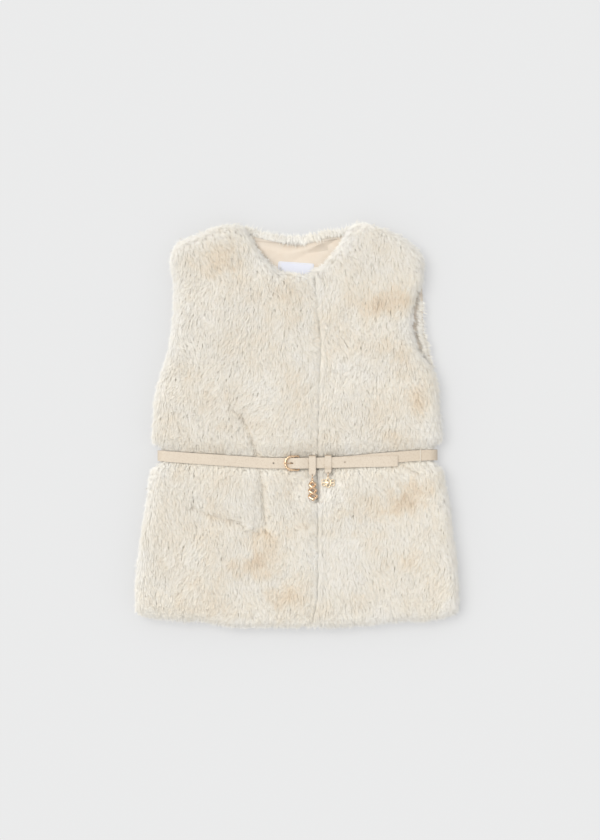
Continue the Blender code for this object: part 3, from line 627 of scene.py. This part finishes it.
# Large odd numbers that turn a clump's cell into a number, and then scramble it: shift and factor
CELL_FACTORS = (73856093, 19349663, 83492791)
CODE_FACTOR = 2654435761
SALT_FACTOR = 40503 * 7919
SCRAMBLES = ((15, 2246822519), (13, 3266489917))
WORD = 0xFFFFFFFF  # the 32 bits that a scrambled number is kept to


def chance(code, salt):
    """A repeatable number from 0 to 1 for a clump."""
    mixed = (code * CODE_FACTOR + (salt + 1) * SALT_FACTOR) & WORD
    for shift, factor in SCRAMBLES:
        mixed = ((mixed ^ (mixed >> shift)) * factor) & WORD
    return (mixed ^ (mixed >> 16)) / (WORD + 1.0)


def clumps(points, size, seed):
    """The nearest clump of each point: the clump's middle and a number of its own."""
    cell = np.floor(points / size).astype(np.int64)
    best = np.full(len(points), np.inf)
    middle = np.zeros_like(points)
    number = np.zeros(len(points), np.int64)
    for step in product((-1, 0, 1), repeat=3):
        at = cell + step
        x_part, y_part, z_part = (at * CELL_FACTORS).T
        code = (x_part ^ y_part ^ z_part) + seed
        centre = (at + 0.5) * size
        for axis in range(3):
            centre[:, axis] += (chance(code, axis) - 0.5) * size * 0.9
        far = np.linalg.norm(points - centre, axis=1)
        closer = far < best
        best[closer] = far[closer]
        middle[closer] = centre[closer]
        number[closer] = code[closer]
    return middle, number


def warmth(x, y):
    """How warm the pile's tone is at each place."""
    tone = np.zeros(len(x))
    for across, height, half_width, half_height, strength in WARM_PATCHES:
        cx, cy = to_model(across, height)
        far = np.hypot((x - cx) / (half_width * MM), (y - cy) / (half_height * MM))
        ragged = far + 0.45 * lattice(x, y, 8 * MM, seed=31)
        tone += 0.9 * strength * (1 - smooth_step(0.0, 1.55, ragged))
    return tone


def belt_offset(points):
    """How far each point is above the belt's middle line."""
    return points[:, 1] - (read_off(BELT_LINE, points[:, 0] / MM) - HALF_LENGTH) * MM


def beside_closing(points):
    """How far across each point is from the right front's closing edge."""
    return points[:, 0] - read_off(CLOSING_LINE, height_of(points)) * MM


def closing_fill(points, normals, slit):
    """How much longer the pile grows beside the closing edge, where the two fronts' pile meets."""
    height = height_of(points)
    beside = beside_closing(points)
    top = read_off(CLOSING_TOPS, height) * MM
    top -= slit * np.exp(-(((beside - 0.6 * MM) / (1.5 * MM)) ** 2)) + 0.4 * MM
    near = 1 - smooth_step(10 * MM, 16 * MM, np.abs(beside))
    return np.clip(top - points[:, 2], 0, None) * near * (normals[:, 2] > -0.2) * (height < 400)


def under_charms(x, y):
    """Whether each place is where a charm hangs or swings."""
    swept = np.zeros(len(x), bool)
    for kind in ("knot", "flower"):
        low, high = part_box(f"ring_{kind}")
        reach = high.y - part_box(f"charm_{kind}")[0].y + 3 * MM
        across, below = x - (low.x + high.x) / 2, high.y - y
        swept |= (np.hypot(across, below) < reach) & (below > -2 * MM) & (np.abs(across) < below + 6 * MM)
    return swept


def back_shows(points):
    """Whether each point is at the neck or the right armhole, where the back's own edge shows."""
    across, height = points[:, 0] / MM, height_of(points)
    half_width, neck_low = BARE_NECK
    arm_across, arm_low, arm_high = BARE_ARMHOLE
    neck = (height > neck_low) & (np.abs(across) < half_width)
    return neck | (across > arm_across) & (height > arm_low) & (height < arm_high)


class Pile:
    """The strands of one piece of pile: each array has a row for each strand."""

    def __init__(self, surface, weight, count, seed, outward):
        self.own = bpy.context.scene.vest_fur
        self.surface = surface
        self.count = count
        self.rng = np.random.default_rng(seed)
        rim = 1 - smooth_step(0.3, 0.85, np.abs(surface.facing[:, 2]))
        self.points, normals = surface.scatter(count, weight * (1 + 0.9 * rim), self.rng)
        self.x, self.y = self.points[:, 0], self.points[:, 1]
        self.fill = closing_fill(self.points, normals, self.own.slit)
        self.normals = unit(normals + np.outer(3 * smooth_step(0, 2.5 * MM, self.fill), UP))
        self.upness = self.normals[:, 2]
        self.clump_middle, self.clump = clumps(self.points, self.own.clump, seed=11)
        self.edge = 1 - smooth_step(0.30, 0.90, np.abs(self.upness))
        self.outside, self.way = surface.outline(self.points)
        self.border = smooth_step(-14 * MM, -2 * MM, self.outside) + outward * (self.upness > 0.1)
        self.offset = belt_offset(self.points)
        self.upward = self.upness > 0.2
        self.pressed = (np.abs(self.offset) < 7.5 * MM) & self.upward

    def lie_down(self):
        """Sets each strand's lean along the cloth, how near a parting it is and how far it sinks there."""
        x, y = self.x, self.y
        turn = self.own.swirl * (0.7 * lattice(x, y, 46 * MM, seed=3) + 0.5 * lattice(x, y, 19 * MM, seed=4))
        turn += (chance(self.clump, salt=5) - 0.5) * 0.7 + self.rng.normal(0, 0.20 + 0.50 * self.edge)
        angle = -math.pi / 2 + turn
        lean = np.column_stack([np.cos(angle), np.sin(angle), np.zeros(self.count)])
        self.parted = np.zeros(self.count)
        self.sunk = np.zeros(self.count)
        for line, reach in PARTINGS:
            far, lead = away_from(x, y, line)
            near = 1 - smooth_step(0, reach * MM, far)
            lean[:, :2] += lead * near[:, None] * 0.9
            self.parted = np.maximum(self.parted, near)
            self.sunk = np.maximum(self.sunk, 1.5 * MM * (1 - smooth_step(0, 5.0 * MM, far)))
        # Pile near an edge lies out over it
        lean += self.way * (0.9 * self.border + 0.5 * self.edge)[:, None]
        flat = along_cloth(lean, self.normals)
        steep = 1 - np.linalg.norm(flat, axis=1)
        flat[:, 2] -= np.clip(steep, 0, 1) * 0.5
        self.lean = unit(along_cloth(flat, self.normals))

    def heading(self, lift):
        """The direction of each strand that rises from the cloth by an angle."""
        return self.lean * np.cos(lift)[:, None] + self.normals * np.sin(lift)[:, None]

    def grow(self):
        """Sets each strand's root, bend and tip from its length, its lift and its depth."""
        own, rng, edge, x, y = self.own, self.rng, self.edge, self.x, self.y
        lush = 1 + 0.16 * lattice(x, y, 15 * MM, seed=8) + 0.10 * (chance(self.clump, salt=6) - 0.5)
        uneven = rng.normal(1.0, 0.14 + 0.08 * edge).clip(0.55, 1.5)
        size = own.strand * lush * uneven * (1 - 0.20 * self.parted) * (1 - 0.22 * edge)
        guard = rng.random(self.count) < 0.06
        size = np.where(guard, size * 1.25, size)
        lift = 0.36 + 0.08 * lattice(x, y, 24 * MM, seed=9) + 0.10 * (chance(self.clump, salt=7) - 0.5)
        lift += rng.normal(0, 0.06 + 0.16 * edge) + 0.52 * edge + np.where(guard, 0.10, 0.0)
        lift = np.where(self.pressed, 0.12, lift)
        depth = own.depth * lush * (1 + 0.25 * (chance(self.clump, salt=8) - 0.5)) + own.edge_depth * edge
        below = self.normals * (depth + self.sunk)[:, None]
        self.root = self.points - below - self.lean * (size * 0.35)[:, None]
        self.root[:, 2] += self.fill * 0.9
        self.tip = self.root + self.heading(lift) * size[:, None]
        self.mid = self.root + self.heading(lift + 0.35) * (size * 0.50)[:, None]
        self.tip[:, 2] += self.fill * 0.1
        # Strands of a clump draw together at their tips
        apart = along_cloth(self.points - self.clump_middle, self.normals)
        self.tip -= apart * 0.24
        self.mid -= apart * 0.10

    def draw_in(self, tuck):
        """Ends the thick pile inside the panel's outline, with a haze of strands that reach further."""
        own = self.own
        excess, way = self.surface.outline(self.tip)
        self.closing = (way[:, 0] > 0.8) & (np.abs(self.x - 22 * MM) < 30 * MM)
        haze = self.rng.exponential(own.fuzz, self.count).clip(0, 8 * MM)
        allowed = haze - own.thick + np.where(self.closing, own.lap, 0.0)
        allowed += 1.3 * MM * lattice(self.x, self.y, 7 * MM, seed=14)
        allowed -= 2.0 * MM * smooth_step(0.1, -0.5, self.upness)
        # An edge that the fronts cover stays hidden under their pile
        allowed -= np.where(back_shows(self.points), 0.0, tuck)
        back = way * np.clip(excess - allowed, 0, 12 * MM)[:, None]
        for part in (self.root, self.mid, self.tip):
            part -= back

    def clear_belt(self):
        """Stops the pile above the belt at the belt's edge, and lays the pile under it flat."""
        over = np.where(self.pressed, self.points[:, 2] - 0.1 * MM, np.inf)
        limit = self.y - self.offset + BELT_CLEAR
        above = (self.offset > BELT_CLEAR) & self.upward
        for part in (self.mid, self.tip):
            part[:, 2] = np.minimum(part[:, 2], over)
            part[:, 1] = np.where(above, np.maximum(part[:, 1], limit), part[:, 1])

    def sink(self, floor_z):
        """Lowers the pile where a charm hangs or swings, and keeps all of it above a height."""
        stand = np.maximum(self.mid[:, 2], self.tip[:, 2]) - self.points[:, 2]
        swept = under_charms(self.x, self.y) & self.upward
        deeper = np.where(swept, np.clip(stand + 0.1 * MM, 0, None), 0)
        for part in (self.root, self.mid, self.tip):
            part[:, 2] = np.maximum(part[:, 2] - deeper, floor_z)

    def tones(self):
        """How warm each strand's tone is, from pale at 0 to tan at 1."""
        x, y, rng = self.x, self.y, self.rng
        tone = 0.30 + 0.13 * lattice(x, y, 30 * MM, seed=12) + 0.08 * lattice(x, y, 11 * MM, seed=13)
        own_tone = 0.10 * (chance(self.clump, salt=9) - 0.5) + rng.normal(0, 0.05, self.count)
        # Near a parting strands are a little deeper in tone: painted shade in the parting.
        tone += own_tone + warmth(x, y) + 0.05 * self.parted
        # Strands at an edge vary more in tone and are a little paler on the whole, and the pile grows paler
        # towards its outline except at the closing edge: painted light at the thin fringe.
        tone += self.edge * rng.normal(-0.04, 0.10, self.count)
        tone -= np.where(self.closing, 0.0, 0.18) * smooth_step(-20 * MM, 0, self.outside)
        return np.clip(tone, 0.02, 0.98)[:, None]

    def ribbons(self, name):
        """A mesh of bent ribbons of two faces, pointed at both ends, with their tones and shading."""
        count, edge, rng = self.count, self.edge, self.rng
        axis = unit(self.tip - self.root)
        # Ribbons at an edge turn their flat side up, so that they catch the light
        turned_up = 0.7 * self.upness + 2.2 * edge * (self.upness > -0.8)
        facing = unit(self.normals * (1, 1, 0.3) + np.outer(turned_up, UP))
        side = unit(np.cross(axis, facing))
        turned = rng.uniform(-0.4, 0.4, count)[:, None]
        side = unit(side * np.cos(turned) + np.cross(axis, side) * np.sin(turned))
        half = side * (self.own.width / 2 * (rng.uniform(0.7, 1.3, count) * (1 - 0.35 * edge))[:, None])
        corners = np.stack([self.root, self.mid - half, self.mid + half, self.tip], 1)
        base = np.arange(count)[:, None] * 4
        faces = np.concatenate([base + (0, 2, 1), base + (1, 2, 3)], 1).reshape(-1, 3)
        mesh = mesh_of(name, corners.reshape(-1, 3), faces)
        tone = self.tones()
        across = np.concatenate([tone, tone - 0.01, tone + 0.01, tone], 1)
        up = np.tile([0.0, 0.5, 0.5, 1.0], (count, 1))
        uv = np.stack([across.ravel()[faces.ravel()], up.ravel()[faces.ravel()]], 1)
        mesh.uv_layers.new(name="OFBake").data.foreach_set("uv", uv.astype(np.float32).ravel())
        spread = rng.uniform(-0.22, 0.22, count) * (1 + 1.4 * edge)
        shade = unit(facing + side * spread[:, None] + self.lean * 0.10)
        ends = np.stack([shade, shade, shade, unit(shade + self.lean * 0.25)], 1)
        mesh.normals_split_custom_set_from_vertices(ends.reshape(-1, 3).astype(np.float32))
        return mesh


def strands(name, surface, weight, count, seed, floor_z, outward=0.0, tuck=0.0):
    """One piece of pile, scattered over a panel's faces by their weights."""
    pile = Pile(surface, weight, count, seed, outward)
    pile.lie_down()
    pile.grow()
    pile.draw_in(tuck)
    pile.clear_belt()
    pile.sink(floor_z)
    return new_piece(name, pile.ribbons(name), finish_of(fur_pile), "vest")


def backing_shell(name, surface, keep_z, share):
    """The cloth that carries the pile: the node's form, thinner and drawn in from its edges."""
    points = surface.points.copy()
    outside, way = surface.outline(points)
    points -= way * np.clip(outside + BACKING_INSET * MM, 0, None)[:, None]
    points[:, 2] = keep_z + (points[:, 2] - keep_z) * share
    return new_piece(name, mesh_of(name, points, surface.faces), finish_of(fur_backing), "vest")


def settled(work, mesh):
    """The work written to a mesh, with its faces pointing out and shaded smooth."""
    bmesh.ops.recalc_face_normals(work, faces=work.faces)
    work.to_mesh(mesh)
    work.free()
    mesh.shade_smooth()
    return mesh


def refined(name, node, finish, body="vest", bevel=0.0, subdivide=0, quads=True):
    """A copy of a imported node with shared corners, softened edges or a finer surface."""
    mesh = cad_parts[node].data.copy()
    mesh.name = name
    if "custom_normal" in mesh.attributes:
        mesh.attributes.remove(mesh.attributes["custom_normal"])
    corner = math.radians(40)
    work = bmesh.new()
    work.from_mesh(mesh)
    bmesh.ops.remove_doubles(work, verts=work.verts, dist=1e-6)
    if quads:
        bmesh.ops.join_triangles(
            work, faces=work.faces, angle_face_threshold=corner, angle_shape_threshold=math.radians(60)
        )
    if bevel:
        sharp = [e for e in work.edges if len(e.link_faces) == 2 and e.calc_face_angle(0) > corner]
        bmesh.ops.bevel(work, geom=sharp, offset=bevel, segments=2, affect="EDGES", clamp_overlap=True)
    settled(work, mesh).set_sharp_from_angle(angle=math.radians(38))
    made = new_piece(name, mesh, finish, body)
    if subdivide:
        step = made.modifiers.new("finer", "SUBSURF")
        step.levels = step.render_levels = subdivide
    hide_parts(node)
    return made


def rod(work, path, radius, sides=8):
    """A round rod along a path of points, closed at its ends."""
    turn = [(math.cos(a), math.sin(a)) for a in np.linspace(0, 2 * math.pi, sides, endpoint=False)]
    rings = []
    for k, middle in enumerate(path):
        axis = (path[min(k + 1, len(path) - 1)] - path[max(k - 1, 0)]).normalized()
        side = axis.cross(Vector((0, 0, 1))).normalized()
        up = side.cross(axis)
        rings.append([work.verts.new(middle + (side * c + up * s) * radius) for c, s in turn])
    for ring, after in zip(rings[:-1], rings[1:]):
        for i in range(sides):
            work.faces.new((ring[i], after[i], after[(i + 1) % sides], ring[(i + 1) % sides]))
    work.faces.new(rings[0])
    work.faces.new(reversed(rings[-1]))


def add_stitch(work, start, end, radius, z):
    """A short thread, lower at its two ends, where it goes through the cloth."""
    path = []
    for share, up in ((0.0, -0.6), (0.15, 0.3), (0.5, 0.7), (0.85, 0.3), (1.0, -0.6)):
        middle = start.lerp(end, share)
        middle.z = z + up * radius
        path.append(middle)
    rod(work, path, radius, 6)


def applied(made):
    """The piece's mesh once its modifiers are applied."""
    graph = bpy.context.evaluated_depsgraph_get()
    shaped = bpy.data.meshes.new_from_object(made.evaluated_get(graph))
    made.modifiers.clear()
    shaped.name = made.name
    made.data = shaped
    return shaped


def cast(made, voxel, smooth):
    """Turns a piece that is built up from crossing forms into one smooth casting."""
    remesh = made.modifiers.new("casting", "REMESH")
    remesh.mode = "VOXEL"
    remesh.voxel_size = voxel
    remesh.use_smooth_shade = True
    soften = made.modifiers.new("soften", "SMOOTH")
    soften.factor = 0.5
    soften.iterations = smooth
    applied(made)


def slim_eye(made, top):
    """Files the outside of a charm's eye down, so that it clears its tab when it is lifted."""
    for vert in made.data.vertices:
        if vert.co.y > top - 1.2 * MM:
            vert.co -= vert.normal * 0.12 * MM


def ball(work, middle, radius):
    """A small ball round a middle."""
    place = Matrix.Translation(middle)
    bmesh.ops.create_uvsphere(work, u_segments=16, v_segments=10, radius=radius, matrix=place)


def knot_place(eye, share, aside, up):
    """A place a share of the way down the knot charm, which hangs a little aside."""
    drop = (3.2 + 19.6 * share) * MM
    return eye + Vector((aside + 0.8 * MM * share, -drop, up))


def knot(eye):
    """Two bars wound round each other in loops, with beads at their crossings and on their bends."""
    work = bmesh.new()
    turns = np.linspace(0, 2 * math.pi, 25)
    rod(work, [eye + Vector((math.sin(a), math.cos(a), 0)) * KNOT_EYE for a in turns], KNOT_WIRE)
    for turn in (0.0, math.pi):
        path = []
        for share in np.linspace(0, 1, KNOT_STEPS + 1):
            phase = turn + KNOT_LOOPS * math.pi * share
            spread = (2.7 + 1.9 * share) * MM
            path.append(knot_place(eye, share, math.sin(phase) * spread, math.cos(phase) * 1.2 * MM))
        rod(work, path, 1.5 * MM, 10)
        for k in range(KNOT_LOOPS):
            bend = path[int((k + 0.5) / KNOT_LOOPS * KNOT_STEPS)]
            ball(work, bend + Vector((0, 0, 1.0 * MM)), 1.05 * MM)
    for share, radius in ((0.0, 1.8), (1 / 3, 1.6), (2 / 3, 1.9), (1.0, 2.2)):
        ball(work, knot_place(eye, share, 0.0, 0.7 * MM), radius * MM)
    return settled(work, bpy.data.meshes.new("knot_charm"))


# Pieces


class VEST_OT_fur_fronts(bpy.types.Operator):
    """Build the pile and backing of the two fronts"""

    bl_idname = "vest.fur_fronts"
    bl_label = "Fur fronts"

    def execute(self, context):
        for side, (above, below), flat, area in FRONT_CUTS:
            node = f"front_{side}"
            surface = Surface(node)
            shell = backing_shell(f"backing_{node}", surface, FRONTS_BASE * MM, 0.60)
            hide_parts(node)
            seen = (surface.facing[:, 2] > -0.2).astype(float)
            if side == "left":
                # The strip beside the closing edge grows thicker, and what the right front covers is bare
                beside = beside_closing(surface.middle)
                seen *= (beside > -6 * MM) * (1 + 0.8 * (beside < 6 * MM))
            offset = belt_offset(surface.middle)
            seen *= np.where(np.abs(offset) < 6 * MM, 0.5, 1.0)
            upper = offset > 0
            for part, mask, count, seed in (("upper", upper, above, 21), ("lower", ~upper, below, 22)):
                name = f"fur_{side}_{part}"
                strands(name, surface, seen * mask, count, seed, FRONT_FUR_LOW * MM)
        return {"FINISHED"}


class VEST_OT_fur_back(bpy.types.Operator):
    """Build the pile and backing of the back panel"""

    bl_idname = "vest.fur_back"
    bl_label = "Fur back"

    def execute(self, context):
        surface = Surface("back", BACK_RIM_TOP)
        shell = backing_shell("backing_back", surface, BACK_FACE * MM, 0.55)
        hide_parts("back")
        middle, upness = surface.middle, surface.facing[:, 2]
        across, height = middle[:, 0] / MM, height_of(middle)
        under = upness < -0.5
        rim = np.abs(upness) <= 0.5
        # Where the back neck's roll stands clear of the facing, and the armhole's roll of the front
        facing_top = 438.5 + 0.0032 * (across + 8) ** 2
        neck_roll = (upness > 0.1) & (height > facing_top) & (np.abs(across) < BARE_NECK[0])
        arm_roll = (upness > 0.2) & (across > 130) & (height > 296) & (height < 372)
        weight = 0.30 * under + 2.0 * rim + 3.0 * (neck_roll | arm_roll)
        in_groove = under & (np.abs(belt_offset(middle)) < 8 * MM)
        weight = np.where(in_groove, 0.0, weight)
        low = BACK_FUR_LOW * MM
        piece = strands("fur_back", surface, weight, 70000, 23, low, outward=1.6, tuck=1.5 * MM)
        return {"FINISHED"}


class VEST_OT_lining(bpy.types.Operator):
    """Build the lining seen in the back neck and beside the left armhole"""

    bl_idname = "vest.lining"
    bl_label = "Lining"

    def execute(self, context):
        surface = Surface("back_lining")
        mesh = mesh_of("lining", surface.points, surface.faces)
        work = bmesh.new()
        work.from_mesh(mesh)
        bmesh.ops.subdivide_edges(work, edges=work.edges, cuts=7, use_grid_fill=True)
        co = np.array([v.co for v in work.verts])
        x, y = co[:, 0], co[:, 1]
        open_neck = smooth_step(415, 421, height_of(co)) * (1 - smooth_step(34, 50, np.abs(x) / MM))
        # Folds run across the cloth, so their noise is drawn out that way
        folds = 0.5 * lattice(x * 0.35, y, 5 * MM, seed=41) + 0.5 * lattice(x * 0.5, y, 10 * MM, seed=42)
        rise = open_neck * (0.6 + 0.55 * folds) * MM + 0.10 * folds * MM
        over_seam = y - FACING_SEAM - FACING_CURVE * (x + FACING_ASIDE) ** 2
        # The facing lies up over the lower half of the back neck's roll
        rise += open_neck * 3.9 * MM * smooth_step(-4 * MM, 3 * MM, over_seam)
        rise += open_neck * 0.5 * MM * np.exp(-(((over_seam - 1.0 * MM) / (1.1 * MM)) ** 2))
        for vert, up in zip(work.verts, rise):
            vert.co.z += up
        made = new_piece("lining", settled(work, mesh), finish_of(lining_satin), "vest")
        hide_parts("back_lining")
        return {"FINISHED"}


class VEST_OT_label(bpy.types.Operator):
    """Build the blank woven label with its turned ends and stitches"""

    bl_idname = "vest.label"
    bl_label = "Neck label"

    def execute(self, context):
        made = refined("label", "neck_label", finish_of(label_weave), bevel=0.12 * MM)
        low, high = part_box("neck_label")
        centre = (low + high) / 2
        across = Vector((math.cos(LABEL_TILT), math.sin(LABEL_TILT), 0))
        upward = Vector((-math.sin(LABEL_TILT), math.cos(LABEL_TILT), 0))
        side_row, fold_line, top_row, half_fold = 18.4 * MM, 17.0 * MM, 9.8 * MM, 10.5 * MM
        work = bmesh.new()
        for end in (-1, 1):
            for k in range(11):
                start = centre + across * end * side_row + upward * (k - 5) * STITCH_PITCH
                add_stitch(work, start, start + upward * 1.2 * MM, 0.18 * MM, high.z)
            fold = centre + across * end * fold_line
            ends = (fold - upward * half_fold, fold + upward * half_fold)
            add_stitch(work, *ends, 0.16 * MM, high.z - 0.06 * MM)
        for k in range(19):
            start = centre + upward * top_row + across * (k - 9) * STITCH_PITCH
            add_stitch(work, start - across * 0.6 * MM, start + across * 0.6 * MM, 0.16 * MM, high.z)
        mesh = settled(work, bpy.data.meshes.new("label_stitches"))
        stitches = new_piece("label_stitches", mesh, finish_of(spun_thread), "vest")
        return {"FINISHED"}


class VEST_OT_belt(bpy.types.Operator):
    """Build the strap and the two charm tabs"""

    bl_idname = "vest.belt"
    bl_label = "Belt and tabs"

    def execute(self, context):
        leather = finish_of(strap_leather)
        refined("belt", "belt_strap", leather, bevel=0.42 * MM, quads=False)
        for kind in ("knot", "flower"):
            refined(f"tab_{kind}", f"charm_tab_{kind}", leather, bevel=0.4 * MM, quads=False)
        return {"FINISHED"}


class VEST_OT_buckle(bpy.types.Operator):
    """Build the buckle's frame and prong"""

    bl_idname = "vest.buckle"
    bl_label = "Buckle"

    def execute(self, context):
        metal = finish_of(rose_gold)
        frame_wire = applied(refined("buckle_frame", "belt_buckle", metal, subdivide=2))
        low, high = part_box("belt_buckle")
        bar_x = high.x - 3.5 * MM
        middle = Vector((high.x - 7 * MM, (low.y + high.y) / 2, 0))
        # Ribs round the curved wire, which fade out towards the plain bar
        for vert in frame_wire.vertices:
            from_bar = min(max((bar_x - vert.co.x) / (2.5 * MM), 0), 1)
            around = math.atan2(vert.co.y - middle.y, vert.co.x - middle.x)
            notch = 0.5 + 0.5 * math.cos(around * BUCKLE_NOTCHES)
            vert.co += vert.normal * from_bar * ((0.18 + 0.34 * notch) * MM)
        refined("buckle_prong", "belt_prong", metal, subdivide=2)
        return {"FINISHED"}


class VEST_OT_rings(bpy.types.Operator):
    """Build the two jump rings"""

    bl_idname = "vest.rings"
    bl_label = "Jump rings"

    def execute(self, context):
        metal = finish_of(rose_gold)
        for kind in ("knot", "flower"):
            name = f"ring_{kind}"
            refined(f"jump_{name}", name, metal, body=name, subdivide=2)
        return {"FINISHED"}


class VEST_OT_charms(bpy.types.Operator):
    """Build the two hanging charms"""

    bl_idname = "vest.charms"
    bl_label = "Charms"

    def execute(self, context):
        (ring_low, ring_high), (_, top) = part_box("ring_knot"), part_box("charm_knot")
        middle = (ring_low + ring_high) / 2
        eye = Vector((middle.x, top.y - KNOT_EYE - KNOT_WIRE, middle.z))
        made = new_piece("knot_charm", knot(eye), finish_of(rose_gold), "charm_knot")
        cast(made, 0.23 * MM, 2)
        slim_eye(made, top.y)
        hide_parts("charm_knot")
        made = refined("flower_charm", "charm_flower", finish_of(pale_gold), "charm_flower")
        cast(made, 0.2 * MM, 2)
        slim_eye(made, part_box("charm_flower")[1].y)
        return {"FINISHED"}


class VEST_OT_thread_loop(bpy.types.Operator):
    """Build the loop of twisted thread that holds the belt"""

    bl_idname = "vest.thread_loop"
    bl_label = "Thread loop"

    def execute(self, context):
        low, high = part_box("belt_loop")
        x = (low.x + high.x) / 2
        rows = [(high.y - inward * MM, z * MM) for inward, z in LOOP_LINE]
        rows += [(low.y + high.y - y, z) for y, z in reversed(rows)]
        ys, zs = zip(*rows[::-1])
        work = bmesh.new()
        for ply in (0.0, math.pi):
            path = []
            for share in np.linspace(0, 1, 91):
                y = ys[0] + (ys[-1] - ys[0]) * share
                phase = ply + share * 26.0
                twist = Vector((math.cos(phase), 0, math.sin(phase))) * 0.26 * MM
                path.append(Vector((x, y, float(np.interp(y, ys, zs)))) + twist)
            rod(work, path, 0.3 * MM)
        mesh = settled(work, bpy.data.meshes.new("thread_loop"))
        made = new_piece("thread_loop", mesh, finish_of(spun_thread), "vest")
        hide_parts("belt_loop")
        return {"FINISHED"}


class VEST_OT_stage(bpy.types.Operator):
    """Set out the pale floor, the soft light and the camera"""

    bl_idname = "vest.stage"
    bl_label = "Stage"

    def execute(self, context):
        own = context.scene.vest_stage
        work = bmesh.new()
        bmesh.ops.create_grid(work, x_segments=8, y_segments=8, size=FLOOR_HALF)
        mesh = bpy.data.meshes.new("floor")
        work.to_mesh(mesh)
        work.free()
        floor = bpy.data.objects.new("floor", mesh)
        floor.location.z = -FLOOR_DROP
        mesh.materials.append(finish_of(floor_paper))
        context.scene.collection.objects.link(floor)
        world = bpy.data.worlds.new("room")
        world.use_nodes = True
        sky = world.node_tree.nodes["Background"]
        sky.inputs["Color"].default_value = (0.990, 1.0, 1.018, 1.0)
        sky.inputs["Strength"].default_value = own.sky
        context.scene.world = world
        light = bpy.data.lights.new("soft_light", "SUN")
        light.energy = own.sun
        light.angle = own.spread
        light.color = (1.012, 1.0, 0.978)
        lamp = bpy.data.objects.new("soft_light", light)
        lamp.rotation_mode = "QUATERNION"
        lamp.rotation_quaternion = Vector(LIGHT_FROM).to_track_quat("Z", "Y")
        context.scene.collection.objects.link(lamp)
        lens = bpy.data.cameras.new("camera")
        lens.lens = own.lens
        lens.sensor_width = 36.0
        lens.clip_end = 20.0
        camera = bpy.data.objects.new("camera", lens)
        camera.location = (*AIM, own.distance)
        context.scene.collection.objects.link(camera)
        context.scene.camera = camera
        context.scene.view_settings.view_transform = "Standard"
        return {"FINISHED"}


class VEST_PT_parts(bpy.types.Panel):
    """Pieces and settings of the vest"""

    bl_idname = "VEST_PT_parts"
    bl_label = "Faux fur vest"
    bl_space_type = "VIEW_3D"
    bl_region_type = "UI"
    bl_category = "Vest"

    def draw(self, context):
        for operator in OPERATORS:
            self.layout.operator(operator.bl_idname)
        for group in GROUPS:
            box = self.layout.box()
            for name in getattr(context.scene, group).bl_rna.properties.keys():
                if name not in ("rna_type", "name"):
                    box.prop(getattr(context.scene, group), name)


GROUPS = {
    "vest_fur": FurSettings,
    "vest_lining": LiningSettings,
    "vest_trim": TrimSettings,
    "vest_stage": StageSettings,
}
OPERATORS = (
    VEST_OT_stage,
    VEST_OT_lining,
    VEST_OT_label,
    VEST_OT_fur_back,
    VEST_OT_fur_fronts,
    VEST_OT_belt,
    VEST_OT_buckle,
    VEST_OT_rings,
    VEST_OT_charms,
    VEST_OT_thread_loop,
)


def register():
    for name, group in GROUPS.items():
        bpy.utils.register_class(group)
        setattr(bpy.types.Scene, name, bpy.props.PointerProperty(type=group))
    for operator in OPERATORS:
        bpy.utils.register_class(operator)
    bpy.utils.register_class(VEST_PT_parts)


def unregister():
    bpy.utils.unregister_class(VEST_PT_parts)
    for operator in reversed(OPERATORS):
        bpy.utils.unregister_class(operator)
    for name, group in GROUPS.items():
        delattr(bpy.types.Scene, name)
        bpy.utils.unregister_class(group)


def main():
    register()
    for operator in OPERATORS:
        family, name = operator.bl_idname.split(".")
        getattr(getattr(bpy.ops, family), name)()


if __name__ == "__main__":
    main()
